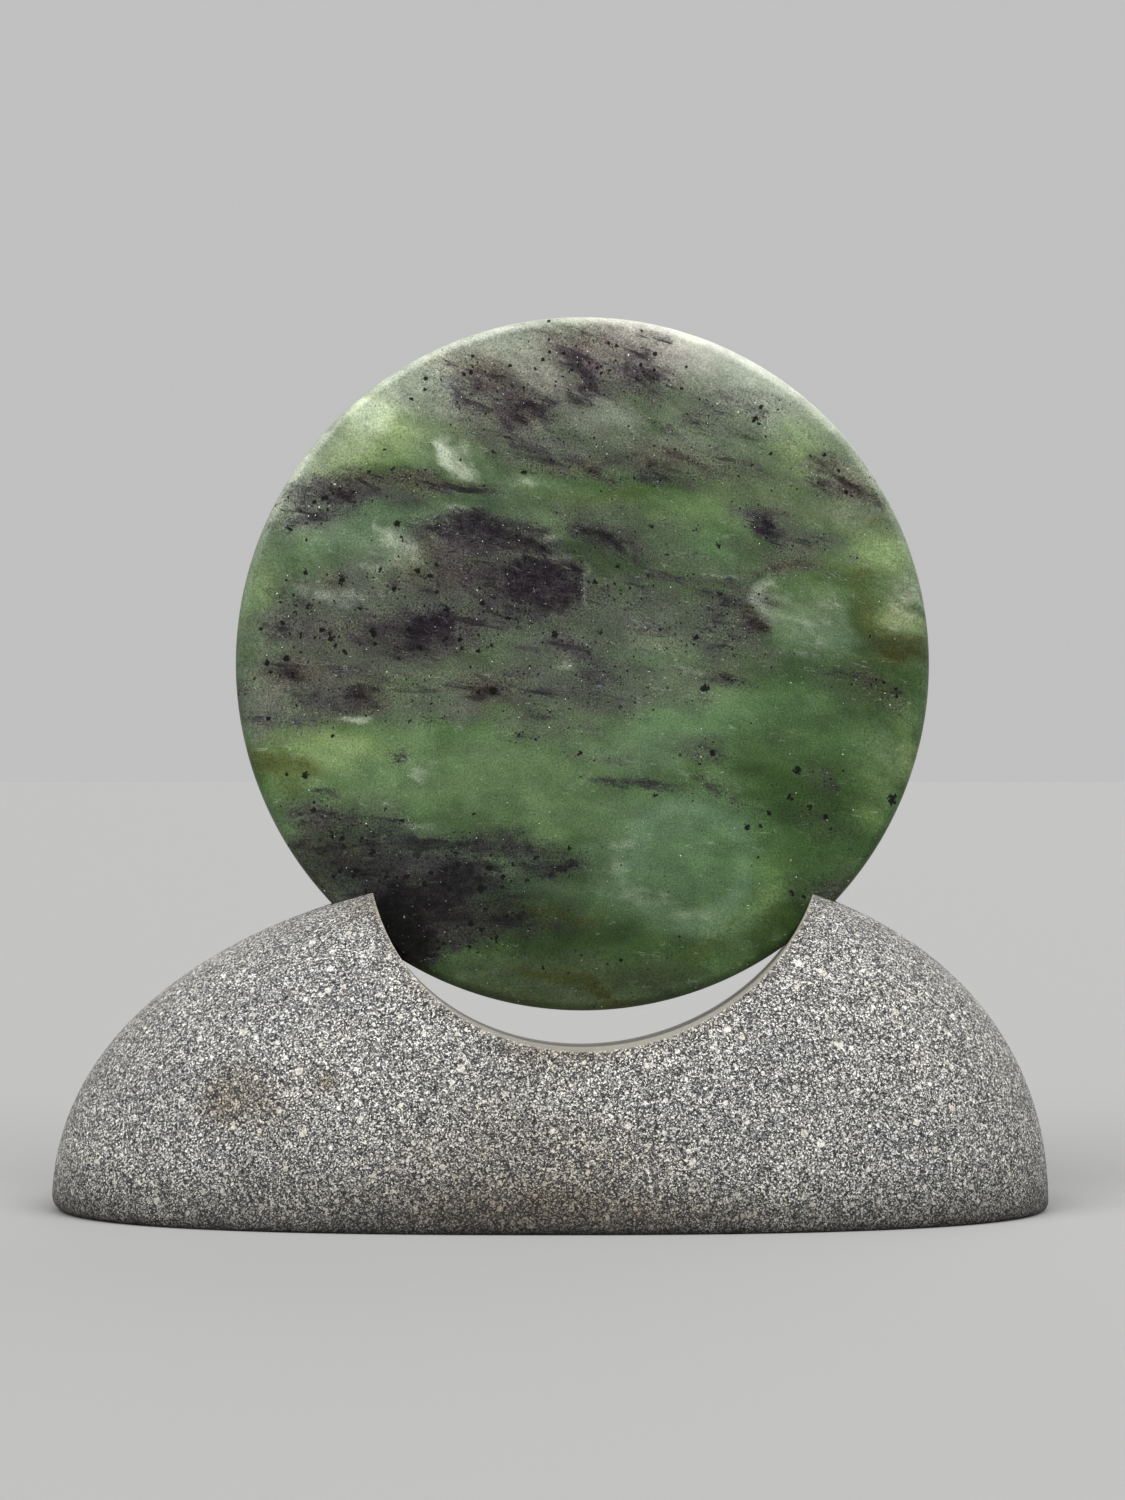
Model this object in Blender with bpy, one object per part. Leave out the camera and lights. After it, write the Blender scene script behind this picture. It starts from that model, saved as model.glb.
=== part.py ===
"""A round greenstone disc that stands on edge in a notched stone stand.

Metres, +Z up. The origin is on the ground under the middle of the stand. +X runs along the stand to
the viewer's right, and +Y runs away from the viewer, through the disc.

The stand is half a boulder, flat below. Its outline is half of a superellipse, steeper at the right
end, and every level section of it is a superellipse too. A leaning elliptical notch runs through its
top from front to back and flares a little to the back. The two horns that it leaves share one narrow
groove, cut to the disc's own circle, and the disc's edge sits in it with daylight below.
"""

import math

import bmesh
import bpy
from mathutils import Matrix, Vector

# The disc
DISC_RADIUS = 0.0797
DISC_THICKNESS = 0.0110
DISC_DOME_WIDTH = 0.0160  # outer band of each face that bends back towards the rim
DISC_DOME_DROP = 0.0010  # how far that band falls below the flat middle
DISC_EDGE_ROUND = 0.0026  # radius of the turn from face to rim
DISC_OFFSET = 0.0074  # of its middle to the right of the stand's middle

# The stand's boulder, before the notch takes its crown
STAND_LENGTH = 0.2284
STAND_DEPTH = 0.1150
STAND_CROWN_HEIGHT = 0.0786
STAND_CROWN_OFFSET = 0.0150  # of the crown to the right of the stand's middle
LEFT_FULLNESS = 2.14  # exponents of the outline: 2 is a plain ellipse, more is squarer
RIGHT_FULLNESS = 2.21
DEPTH_FULLNESS = 2.00  # of the cross-section, from the crown down to the front and the back
PLAN_FULLNESS = 2.45  # of the level sections
ARRIS_ROUND = 0.0018  # rounding of the lower edge
LEFT_ARRIS_ROUND = 0.0032  # the same at the left end, where it is more worn
LEFT_ARRIS_REACH = 0.0450  # how far from the left end the rounder edge runs out

# The notch
NOTCH_FLOOR_HEIGHT = 0.0363  # stone left below it, at the disc
NOTCH_STRETCH = 1.133  # its long axis over its short one
NOTCH_LEAN = math.radians(14.4)  # of the long axis, rising to the right
NOTCH_FLARE = math.radians(3.3)  # of its short sides, widening to the back
DAYLIGHT = 0.0086  # between the disc's lowest point and the notch floor
SEAT_ANGLE = math.radians(34.7)  # round the disc from its lowest point to where the groove begins

# The groove
SEAT_CLEARANCE = 0.0003  # below the disc's rim
SIDE_CLEARANCE = 0.0003  # beside each face of the disc

# Facets
DISC_FACETS = 96
EDGE_STEPS = 4  # on each quarter turn of the disc's edge
DOME_STEPS = 3
STAND_FACETS = 96
STAND_RINGS = 16
ARRIS_STEPS = 2
NOTCH_FACETS = 96
MERGE_DISTANCE = 0.00001

STONE_GREY = (0.245, 0.240, 0.232, 1.0)
STONE_ROUGHNESS = 0.85
NEPHRITE_GREEN = (0.085, 0.150, 0.070, 1.0)
NEPHRITE_ROUGHNESS = 0.30


def clear_scene():
    for thing in list(bpy.data.objects):
        bpy.data.objects.remove(thing, do_unlink=True)


def make_material(name, colour, roughness):
    material = bpy.data.materials.new(name)
    material.use_nodes = True
    shader = material.node_tree.nodes["Principled BSDF"]
    shader.inputs["Base Color"].default_value = colour
    shader.inputs["Roughness"].default_value = roughness
    shader.inputs["Metallic"].default_value = 0.0
    return material


def add_object(name, shape, material=None, sharp_angle=math.radians(35)):
    """A new object from a bmesh, with its faces pointing out and round surfaces shaded smooth."""
    bmesh.ops.recalc_face_normals(shape, faces=shape.faces)
    mesh = bpy.data.meshes.new(name)
    shape.to_mesh(mesh)
    shape.free()
    mesh.shade_smooth()
    mesh.set_sharp_from_angle(angle=sharp_angle)
    thing = bpy.data.objects.new(name, mesh)
    bpy.context.scene.collection.objects.link(thing)
    if material is not None:
        mesh.materials.append(material)
    return thing


def as_cutter(thing):
    thing.hide_render = True
    thing.display_type = "WIRE"
    return thing


def cut(thing, cutter):
    modifier = thing.modifiers.new("Cut by " + cutter.name, "BOOLEAN")
    modifier.operation = "DIFFERENCE"
    modifier.solver = "EXACT"
    modifier.object = cutter


def upright():
    """Turns a shape drawn in its own XY plane to stand in the XZ plane, its +Z towards the viewer."""
    return Matrix.Rotation(math.radians(90), 4, "X")


class Notch:
    """The leaning ellipse of the notch in the disc's plane, worked out from the disc's seat.

    Before it leans, it crosses the disc's circle at the seat angle on both sides. Its lowest point lies
    straight below the disc's middle.
    """

    def __init__(self):
        rise = DAYLIGHT + DISC_RADIUS * (1.0 - math.cos(SEAT_ANGLE))
        half_chord = DISC_RADIUS * math.sin(SEAT_ANGLE)
        self.short = ((half_chord / NOTCH_STRETCH) ** 2 + rise**2) / (2.0 * rise)
        self.long = self.short * NOTCH_STRETCH
        sine = math.sin(NOTCH_LEAN)
        cosine = math.cos(NOTCH_LEAN)
        drop = math.hypot(self.long * sine, self.short * cosine)
        shift = (self.long**2 - self.short**2) * sine * cosine / drop
        self.centre = Vector((DISC_OFFSET + shift, 0.0, NOTCH_FLOOR_HEIGHT + drop))


def disc_centre():
    return Vector((DISC_OFFSET, 0.0, NOTCH_FLOOR_HEIGHT + DAYLIGHT + DISC_RADIUS))


def disc_profile():
    """(radius, offset) pairs of half the disc's section, from the middle of one face to the rim."""
    half = DISC_THICKNESS / 2.0
    turn = min(DISC_EDGE_ROUND, half - DISC_DOME_DROP)
    shoulder = DISC_RADIUS - turn
    flat_edge = shoulder - DISC_DOME_WIDTH
    points = [(0.0, half), (flat_edge, half)]
    for step in range(1, DOME_STEPS + 1):
        share = step / DOME_STEPS
        points.append((flat_edge + DISC_DOME_WIDTH * share, half - DISC_DOME_DROP * share**2))
    edge_height = half - DISC_DOME_DROP
    for step in range(1, EDGE_STEPS + 1):
        angle = math.radians(90) * step / EDGE_STEPS
        points.append((shoulder + turn * math.sin(angle), edge_height - turn + turn * math.cos(angle)))
    return points


def build_disc(material):
    front = disc_profile()
    back = [(radius, -offset) for radius, offset in reversed(front)]
    if back[0][1] > front[-1][1] - MERGE_DISTANCE:
        back = back[1:]
    shape = bmesh.new()
    verts = [shape.verts.new((radius, 0.0, offset)) for radius, offset in front + back]
    edges = [shape.edges.new(pair) for pair in zip(verts, verts[1:])]
    bmesh.ops.spin(
        shape,
        geom=verts + edges,
        cent=(0.0, 0.0, 0.0),
        axis=(0.0, 0.0, 1.0),
        angle=math.radians(360),
        steps=DISC_FACETS,
        use_merge=True,
    )
    bmesh.ops.remove_doubles(shape, verts=shape.verts, dist=MERGE_DISTANCE)
    disc = add_object("greenstone_disc", shape, material)
    disc.matrix_world = Matrix.Translation(disc_centre()) @ upright()
    return disc


def reach(height, full_reach, fullness):
    """How far the boulder reaches at a height, from its full reach at the ground."""
    share = min(height / STAND_CROWN_HEIGHT, 1.0)
    return full_reach * (1.0 - share**fullness) ** (1.0 / fullness)


def section(height):
    """The middle and the two half-widths of the boulder's level section."""
    left = STAND_CROWN_OFFSET - reach(height, STAND_LENGTH / 2.0 + STAND_CROWN_OFFSET, LEFT_FULLNESS)
    right = STAND_CROWN_OFFSET + reach(height, STAND_LENGTH / 2.0 - STAND_CROWN_OFFSET, RIGHT_FULLNESS)
    half_depth = reach(height, STAND_DEPTH / 2.0, DEPTH_FULLNESS)
    return (left + right) / 2.0, (right - left) / 2.0, half_depth


def signed_power(value, exponent):
    return math.copysign(abs(value) ** exponent, value)


def stand_point(angle, height, inset=0.0):
    """A point of the boulder's skin, or as far inside it as the inset."""
    middle, half_length, half_depth = section(height)
    along = signed_power(math.cos(angle), 2.0 / PLAN_FULLNESS)
    across = signed_power(math.sin(angle), 2.0 / PLAN_FULLNESS)
    skin = Vector((middle + half_length * along, half_depth * across, height))
    if inset == 0.0:
        return skin
    slope_along = signed_power(along, PLAN_FULLNESS - 1.0) / half_length
    slope_across = signed_power(across, PLAN_FULLNESS - 1.0) / half_depth
    return skin - Vector((slope_along, slope_across, 0.0)).normalized() * inset


def arris_round(angle):
    """The lower edge's rounding, which grows towards the left end."""
    from_left = STAND_LENGTH / 2.0 * (1.0 + math.cos(angle))
    share = max(0.0, 1.0 - from_left / LEFT_ARRIS_REACH)
    blend = share * share * (3.0 - 2.0 * share)
    return ARRIS_ROUND + (LEFT_ARRIS_ROUND - ARRIS_ROUND) * blend


def stand_rings():
    """Rings of points from the flat underside, round the lower edge and up to the crown."""
    angles = [math.radians(360) * number / STAND_FACETS for number in range(STAND_FACETS)]
    rings = []
    for step in range(ARRIS_STEPS):
        turn = math.radians(90) * step / ARRIS_STEPS
        ring = []
        for angle in angles:
            rounding = arris_round(angle)
            skin = stand_point(angle, rounding, rounding * (1.0 - math.sin(turn)))
            skin.z = rounding * (1.0 - math.cos(turn))
            ring.append(skin)
        rings.append(ring)
    for step in range(STAND_RINGS):
        rise = math.sin(math.radians(90) * step / STAND_RINGS)
        ring = []
        for angle in angles:
            lowest = arris_round(angle)
            ring.append(stand_point(angle, lowest + (STAND_CROWN_HEIGHT - lowest) * rise))
        rings.append(ring)
    return rings


def build_boulder(material):
    shape = bmesh.new()
    rings = [[shape.verts.new(point) for point in ring] for ring in stand_rings()]
    crown = shape.verts.new((STAND_CROWN_OFFSET, 0.0, STAND_CROWN_HEIGHT))
    for lower, upper in zip(rings, rings[1:]):
        for number in range(STAND_FACETS):
            after = (number + 1) % STAND_FACETS
            shape.faces.new((lower[number], lower[after], upper[after], upper[number]))
    top = rings[-1]
    for number in range(STAND_FACETS):
        shape.faces.new((top[number], top[(number + 1) % STAND_FACETS], crown))
    shape.faces.new(list(reversed(rings[0])))
    return add_object("stone_stand", shape, material)


def build_notch_cutter():
    """A tapered core, wider at the back, that runs past both faces of the boulder."""
    notch = Notch()
    spread = STAND_DEPTH * math.tan(NOTCH_FLARE) / notch.short
    shape = bmesh.new()
    bmesh.ops.create_cone(
        shape,
        cap_ends=True,
        segments=NOTCH_FACETS,
        radius1=1.0 + spread,
        radius2=1.0 - spread,
        depth=STAND_DEPTH * 2.0,
    )
    bmesh.ops.scale(shape, vec=(notch.long, notch.short, 1.0), verts=shape.verts)
    cutter = as_cutter(add_object("notch_cutter", shape))
    cutter.matrix_world = (
        Matrix.Translation(notch.centre) @ upright() @ Matrix.Rotation(NOTCH_LEAN, 4, "Z")
    )
    return cutter


def build_groove_cutter():
    shape = bmesh.new()
    radius = DISC_RADIUS + SEAT_CLEARANCE
    bmesh.ops.create_cone(
        shape,
        cap_ends=True,
        segments=DISC_FACETS,
        radius1=radius,
        radius2=radius,
        depth=DISC_THICKNESS + 2.0 * SIDE_CLEARANCE,
    )
    cutter = as_cutter(add_object("groove_cutter", shape))
    cutter.matrix_world = Matrix.Translation(disc_centre()) @ upright()
    return cutter


def build_stand(material):
    stand = build_boulder(material)
    cut(stand, build_notch_cutter())
    cut(stand, build_groove_cutter())
    return stand


def main():
    clear_scene()
    build_disc(make_material("nephrite", NEPHRITE_GREEN, NEPHRITE_ROUGHNESS))
    build_stand(make_material("andesite", STONE_GREY, STONE_ROUGHNESS))


main()
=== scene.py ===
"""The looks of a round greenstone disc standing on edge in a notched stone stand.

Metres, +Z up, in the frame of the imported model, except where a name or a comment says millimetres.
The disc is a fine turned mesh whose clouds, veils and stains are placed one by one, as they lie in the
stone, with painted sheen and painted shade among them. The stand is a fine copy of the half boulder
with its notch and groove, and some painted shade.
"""

import math

import bmesh
import bpy
import numpy as np
from mathutils import Matrix, Vector


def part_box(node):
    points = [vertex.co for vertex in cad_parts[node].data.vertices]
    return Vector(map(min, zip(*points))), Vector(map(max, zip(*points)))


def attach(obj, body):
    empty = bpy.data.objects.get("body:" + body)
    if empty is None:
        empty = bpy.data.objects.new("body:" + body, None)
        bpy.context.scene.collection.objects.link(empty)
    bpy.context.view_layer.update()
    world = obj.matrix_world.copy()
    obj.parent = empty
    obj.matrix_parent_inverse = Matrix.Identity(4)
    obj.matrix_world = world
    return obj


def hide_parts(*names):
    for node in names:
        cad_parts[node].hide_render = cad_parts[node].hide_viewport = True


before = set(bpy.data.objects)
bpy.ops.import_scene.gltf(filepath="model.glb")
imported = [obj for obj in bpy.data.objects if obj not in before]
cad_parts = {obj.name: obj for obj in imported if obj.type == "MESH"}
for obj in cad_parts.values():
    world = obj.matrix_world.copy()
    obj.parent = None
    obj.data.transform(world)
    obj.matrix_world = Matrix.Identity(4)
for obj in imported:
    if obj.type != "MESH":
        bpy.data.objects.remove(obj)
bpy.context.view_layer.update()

MM = 0.001
QUARTER_TURN = math.radians(90)

# The disc, from its node
DISC_LOW, DISC_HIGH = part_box("greenstone_disc")
DISC_CENTRE = (DISC_LOW + DISC_HIGH) / 2.0
DISC_RADIUS = (DISC_HIGH.x - DISC_LOW.x) / 2.0
DISC_THICKNESS = DISC_HIGH.y - DISC_LOW.y
DISC_DOME_WIDTH = 0.0160
DISC_DOME_DROP = 0.0010
DISC_EDGE_ROUND = 0.0026

# The stand, from its node
STAND_LOW, STAND_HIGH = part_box("stone_stand")
STAND_LENGTH = STAND_HIGH.x - STAND_LOW.x
STAND_DEPTH = STAND_HIGH.y - STAND_LOW.y
STAND_CROWN_HEIGHT = 0.0786
STAND_CROWN_OFFSET = 0.0150
LEFT_FULLNESS = 2.14
RIGHT_FULLNESS = 2.21
DEPTH_FULLNESS = 2.00
PLAN_FULLNESS = 2.45
ARRIS_ROUND = 0.0018
LEFT_ARRIS_ROUND = 0.0032
LEFT_ARRIS_REACH = 0.0450

# The notch and the groove
DAYLIGHT = 0.0086
NOTCH_FLOOR_HEIGHT = DISC_LOW.z - DAYLIGHT
NOTCH_STRETCH = 1.133
NOTCH_LEAN = 14.4  # degrees
NOTCH_FLARE = math.radians(3.3)
SEAT_ANGLE = math.radians(34.7)
SEAT_CLEARANCE = 0.0003
SIDE_CLEARANCE = 0.0003

# Fineness of the two meshes
FRONT_RINGS = 145
BACK_RINGS = 68
EDGE_STEPS = 10
STAND_FACETS = 560
STAND_RINGS = 150
ARRIS_STEPS = 5
CUTTER_FACETS = 360
SHARP_EDGE = math.radians(30)

# The camera, level and in front of the disc
CAMERA_PLACE = (0.00282, -0.900, 0.1048)
CAMERA_LENS = 93.744
CAMERA_SENSOR = 36.0

# The studio. Each sun has a name, its height and bearing, how broad it is, all in degrees, and its
# strength. Bearing 0 shines from the viewer's side, and more comes from the right.
FLOOR_RADIUS = 12.0
FLOOR_FACETS = 96
SUNS = (
    ("left_key", 42.0, -44.0, 42.0, 2.3),
    ("right_key", 42.0, 42.0, 42.0, 1.8),
    ("top", 76.0, 8.0, 60.0, 1.2),
    ("back_fill", 30.0, 155.0, 60.0, 0.9),
)
AMBIENT_LIGHT = 0.22
BACKDROP_TONE = 0.53


def lattice(cells, seed):
    """A fixed scattered number from -1 to 1 for each whole-number cell."""
    mixed = cells.astype(np.uint32)
    total = mixed[..., 0] * np.uint32(374761393) + mixed[..., 1] * np.uint32(668265263)
    total = total + mixed[..., 2] * np.uint32(2246822519) + np.uint32(seed * 3266489917 % 2**32)
    total = (total ^ (total >> np.uint32(13))) * np.uint32(1274126177)
    total = total ^ (total >> np.uint32(16))
    return (total & np.uint32(0xFFFF)) / 32767.5 - 1.0


def noise(points, seed):
    """Smooth noise from -1 to 1 at (n, 3) points, with features about one unit across."""
    base = np.floor(points)
    part = points - base
    fade = part * part * part * (part * (part * 6.0 - 15.0) + 10.0)
    cells = base.astype(np.int64)
    total = np.zeros(len(points))
    for corner in range(8):
        step = np.array([corner & 1, corner >> 1 & 1, corner >> 2 & 1])
        weight = np.where(step == 1, fade, 1.0 - fade).prod(axis=1)
        total += weight * lattice(cells + step, seed)
    return total


def fractal(points, octaves, seed):
    """Several layers of noise, each half as large and about half as strong as the one before."""
    total = np.zeros(len(points))
    strength = 1.0
    for octave in range(octaves):
        total += strength * noise(points * 2.0**octave + 17.3 * octave, seed + octave)
        strength *= 0.55
    return total


def smoothstep(low, high, value):
    """0 below the low value, 1 above the high one, and a soft rise between them."""
    share = np.clip((value - low) / (high - low), 0.0, 1.0)
    return share * share * (3.0 - 2.0 * share)


def turned(right, up, degrees):
    """A place as seen along and across a direction that is turned counter-clockwise."""
    sine = math.sin(math.radians(degrees))
    cosine = math.cos(math.radians(degrees))
    return right * cosine + up * sine, up * cosine - right * sine


def add_object(name, data):
    """Puts a mesh, a light or a camera into the scene as an object."""
    thing = bpy.data.objects.new(name, data)
    bpy.context.scene.collection.objects.link(thing)
    return thing


def add_shape(name, shape):
    """Puts a bmesh into the scene as an object, and frees it."""
    mesh = bpy.data.meshes.new(name)
    shape.to_mesh(mesh)
    shape.free()
    return add_object(name, mesh)


def store(thing, name, values):
    """Keeps one number for each point of the mesh, for the material to read."""
    layer = thing.data.attributes.new(name, "FLOAT", "POINT")
    layer.data.foreach_set("value", np.asarray(values, dtype=np.float32))


# What lies in the greenstone. Millimetres on the disc's face from its middle, right and up: place,
# half length and half width. Then the strength in percent, and the tilt in degrees if there is any.
CLOUDS = [
    # the upper left
    (-27, 69.4, 7, 2, 45, -14), (-22, 62.8, 9.5, 3.8, 42, -17), (-13.2, 57.5, 5, 3.6, 82, -20),
    (-17.8, 55.4, 3.2, 1.6, 60, -20), (-25, 58.6, 5.6, 2.2, 46, -14), (-8.6, 57.4, 4.2, 2.8, 40, -24),
    (-28, 53.4, 3.6, 1.2, 34, -8), (-18.4, 60, 10.5, 4.6, 44, -18), (-14, 50.6, 7, 1.5, 42, -20),
    (-4, 50.6, 7, 1, 42, -8), (-19, 48, 3.2, 0.7, 50, -6), (-9.5, 45, 6.4, 1.8, 52, -12),
    (-2, 46.8, 4.8, 1.2, 36, -16),
    # the band at the upper left and its thin tail
    (-65.6, 40.4, 4.6, 2.2, 36, 28), (-65, 35.4, 5.6, 3.2, 46, 20), (-68.6, 32.2, 3.4, 1.5, 48, 16),
    (-57, 42, 4.2, 2, 52, 14), (-56.2, 38.6, 5.6, 2.4, 72, -4), (-51, 37.6, 3.6, 1.3, 48, -8),
    (-55, 35.4, 6, 2, 40), (-46.4, 43.2, 7.6, 1.9, 48, 4), (-38.6, 42, 6.2, 2, 52, -10),
    (-34, 40.6, 5.4, 1.5, 54, -8), (-26.6, 40, 8.4, 0.8, 66, -3),
    # the dark heart, left of the middle
    (-26, 30.6, 9.6, 3, 74, -2), (-17.4, 29.4, 7, 2.8, 72, -22), (-9.4, 25.8, 6.4, 2.8, 50, -34),
    (-27.5, 24.6, 8.5, 5, 44, -6), (-32, 31.4, 5.4, 2.2, 56), (-24, 32.8, 8.6, 1.6, 66, -2),
    (-17, 23, 7, 3.4, 42), (-9.4, 17.4, 10.2, 6.4, 96, -3), (-19, 15.6, 4, 3, 50),
    (-30, 19.6, 7, 3.6, 40, 10), (-36, 7.6, 10, 5, 92, 2), (-45, 8.8, 6.6, 3, 50, 6),
    (-37.4, 3.4, 3.2, 1, 50, -8), (-24, 9.6, 8, 3.4, 34, -4), (-56, 19, 2.4, 1.9, 46),
    (-43.5, 17, 3, 1.4, 34),
    # along the left
    (-66.6, 15.2, 5.4, 1.1, 42, -24), (-61, 12.4, 5, 1.4, 36, -28), (-67, 8.8, 4.6, 2.6, 52, 10),
    (-57.4, 6, 4.2, 2.8, 54), (-50.6, 7, 3.2, 2.2, 44), (-67.6, 1.2, 3, 1.1, 55),
    (-66.4, -2.8, 4.4, 1.8, 72, -14), (-72.4, -3.4, 3.6, 2.6, 34), (-49.2, -6.4, 5.4, 2.6, 84, 8),
    (-50.5, -9.6, 4.6, 1.1, 55, 6), (-62.8, -8, 5.4, 2, 50, -4), (-60.4, -11.6, 6.6, 2.4, 42),
    (-72.4, -12.6, 3.4, 1.5, 46), (-57, -1.6, 5, 1.5, 34),
    # the middle
    (-20.6, -6.2, 3.6, 2.4, 88), (-25, -4.6, 5.2, 2.2, 46, 4), (-11.6, -6, 5.4, 1.2, 58, -8),
    (-13, -3, 3.4, 1.8, 32), (-34, -6, 6.5, 1.4, 22), (-34.4, -12.8, 5.4, 1, 52, -3),
    (-8.6, -12.2, 3.4, 2.4, 34), (-15, -16, 3, 1.5, 34, -14), (-5.4, 6.8, 2.8, 1.7, 46),
    (0, 2, 4.2, 2.4, 58, -38), (3.6, -3.2, 4.6, 3.4, 56, -42), (16.2, 7.8, 3.8, 1.5, 46, -16),
    (12.3, 13.6, 2.4, 1.8, 46, -30), (12.6, 17.2, 3, 1.4, 40, -20), (20, 19.4, 9.6, 1.2, 54, -6),
    (27, 14.2, 3.4, 1.8, 46, -28), (25.9, 6, 1.6, 1.2, 50), (36, 13, 5.4, 3.4, 52, -46),
    (33.6, 6.4, 5.4, 2.6, 50, -20), (40.4, 9, 3, 2, 90, -35), (33.6, -3.2, 4, 1.5, 74, -8),
    (27, -7.5, 3.4, 1, 30, -10),
    # the top
    (-3.4, 75.4, 6, 2.6, 52, -2), (-1.6, 70.6, 3.6, 4.2, 58, 20), (0.2, 65.4, 4.6, 3.2, 80, -66),
    (7, 67, 6, 4.4, 36), (14.4, 64.8, 5.4, 4.2, 66, -8), (9.4, 68.2, 2.8, 2, 36),
    (12, 73.6, 6, 2.4, 30, -14), (15.6, 76, 1.8, 1, 60), (18.2, 74, 1.6, 0.9, 70, -24),
    (29, 58, 3.2, 2, 36), (26.8, 54, 4.2, 2.3, 56, -15), (37.4, 60, 8.4, 2.8, 40, -10),
    (39.6, 56.2, 1.5, 1.3, 66), (35, 53.6, 4.4, 0.8, 40, -24), (17, 54.6, 5.2, 0.9, 50, -27),
    # across the upper right
    (3, 43.8, 4.2, 1.9, 84, -34), (15.6, 45, 4, 1.6, 66, -18), (7, 46.8, 3, 1, 40),
    (23, 48.2, 4.6, 1.3, 42, -20), (31, 45, 6.4, 2.2, 48, -8), (14.4, 41.4, 5.6, 1.1, 50, -4),
    (22, 42.6, 6.6, 1.6, 34, -4), (59.6, 41.8, 5, 1.8, 92, -25), (54, 40.4, 4.6, 1.1, 62, -25),
    (65.6, 38.6, 3.8, 1.3, 50, -30), (56.4, 46.6, 4, 1.8, 36, -20), (41.4, 31.8, 3.4, 2.5, 84, -32),
    (44.6, 28.8, 3.2, 1.7, 62, -45), (50.6, 27.4, 4.2, 1.5, 40, 4), (44, 21.8, 5.4, 1.3, 52, 20),
    (53, 22, 5, 1.1, 36, -14), (5, 28.8, 8.4, 2.8, 78, -22),
    # the lower right
    (58.6, -2.6, 7.4, 0.9, 54, -8), (63.8, -4, 3.8, 1.5, 60, -16), (72.2, -8.4, 2.8, 2.4, 62),
    (28, -21, 3.4, 1.9, 34), (9, -26.4, 5.4, 0.9, 56, -4), (18.4, -27.6, 7.6, 0.8, 36, -2),
    (28.6, -27.6, 3, 1.3, 74, -34), (33.2, -29.6, 3.4, 1.3, 60, -40), (38, -33, 4.4, 0.9, 32, -54),
    (52.4, -25.6, 4.2, 3.4, 40, -44), (55.6, -28.8, 2.6, 1.6, 52, -50), (54.6, -36.4, 7, 3.2, 32, -12),
    (57.6, -51.6, 4, 2.4, 50), (3, -21, 6, 1.4, 26),
    # the small clouds left of the lower mass
    (-42.8, -21.2, 3.2, 1.4, 60, -8), (-58.6, -29.6, 3.2, 1, 58, -8), (-46.4, -36.4, 5.6, 0.8, 56, -3),
    # the great mass at the lower left
    (-58, -35, 6, 3, 60, -14), (-59, -43, 8, 5.6, 52, -40), (-48, -46, 8, 7, 62), (-40, -41, 8, 2, 46),
    (-31, -50.6, 8.6, 6.2, 90, 35), (-40.5, -56.5, 9, 8, 94, 50), (-40, -63.5, 7, 6.5, 94),
    (-28, -42.2, 5.4, 2.4, 66, -4), (-11.4, -43.6, 9, 3.8, 66, -16), (-5, -46.8, 4.6, 1.8, 86, 30),
    (-21, -51.4, 8, 3.4, 36), (-18, -58.8, 10, 3.4, 66, -4), (-27, -60.6, 9, 4, 64),
]

# The darkest and firmest of the clouds
CORES = [
    (-12.9, 57.6, 4, 2.9, 90, -20), (-17.8, 55.3, 2.4, 0.9, 42, -20), (-56.2, 38.4, 4.6, 1.7, 52, -6),
    (-27, 40, 7.4, 0.55, 60, -3), (-35.5, 7.6, 7.6, 4, 66, 4), (-24, 32.6, 8, 1.2, 50, -2),
    (-37.2, 3.3, 2.6, 0.6, 45, -8), (-49.6, -6.2, 4.8, 1.9, 80, 10), (-66.2, -2.9, 3.6, 1.3, 66, -14),
    (-20.4, -6.3, 2.4, 1.5, 70, -4), (-11.6, -6.2, 4.4, 0.5, 45, -8), (-0.6, 66.6, 4.6, 2.2, 80, -66),
    (14.6, 65.6, 3, 2.2, 70, -20), (18.2, 74, 1.4, 0.6, 75, -24), (26.6, 53.8, 2.8, 1.3, 60, -20),
    (3.2, 43.6, 3.2, 1.1, 75, -34), (15.6, 45, 2.8, 0.9, 50, -18), (59.8, 41.8, 4, 1.1, 75, -25),
    (53.6, 40.6, 3.4, 0.6, 50, -25), (41.4, 31.8, 3, 2, 84, -32), (44.8, 28.6, 2.2, 0.9, 45, -45),
    (4.4, 29.4, 6.6, 1.1, 66, -22), (9.6, 27, 2.6, 1, 66, -40), (20, 19.4, 8, 0.5, 40, -6),
    (40.8, 8.8, 2.6, 1.4, 78, -35), (33.8, -3.3, 2.8, 0.8, 50, -8), (8.6, -26.4, 4, 0.5, 36, -4),
    (28.8, -27.6, 2.4, 0.8, 62, -34), (33.2, -29.8, 2.6, 0.7, 45, -42),
    (-42.8, -21.2, 2.2, 0.8, 55, -8), (-58.6, -29.7, 2.4, 0.6, 45, -8), (-5, -46.9, 3.8, 1.3, 90, 30),
    (-10.6, -41.6, 5, 0.9, 45, -14), (-28.6, -41.8, 4, 1.2, 50), (-57, -34.4, 4, 1.4, 46, -10),
    (-17.6, -59.6, 5, 1.4, 45, -4), (-31, -51.4, 7.4, 4.4, 72, 38), (-40, -57, 7, 6.2, 85, 55),
    (-40.5, -64, 6, 6.5, 95),
]

# The darkest cloud, nearly square: its middle, half sizes and tilt
BLOCK = (-9.2, 17.4, 9.6, 6.3, -3)
BLOCK_SQUARENESS = 4.6
BLOCK_STRENGTH = 0.70

# The vault above it: an oval's middle and half sizes. Then how deep under the oval's top the cloud
# sets in and fades away, and how far right it does the same.
VAULT = (-28.0, 14.0, 25.5, 19.8)
VAULT_RIM = (-0.4, 0.7)
VAULT_UNDERSIDE = (1.6, 9.0)
VAULT_LEFT_END = (-37.0, -33.0)
VAULT_RIGHT_END = (-1.0, -7.0)
VAULT_STRENGTH = 0.66

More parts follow.
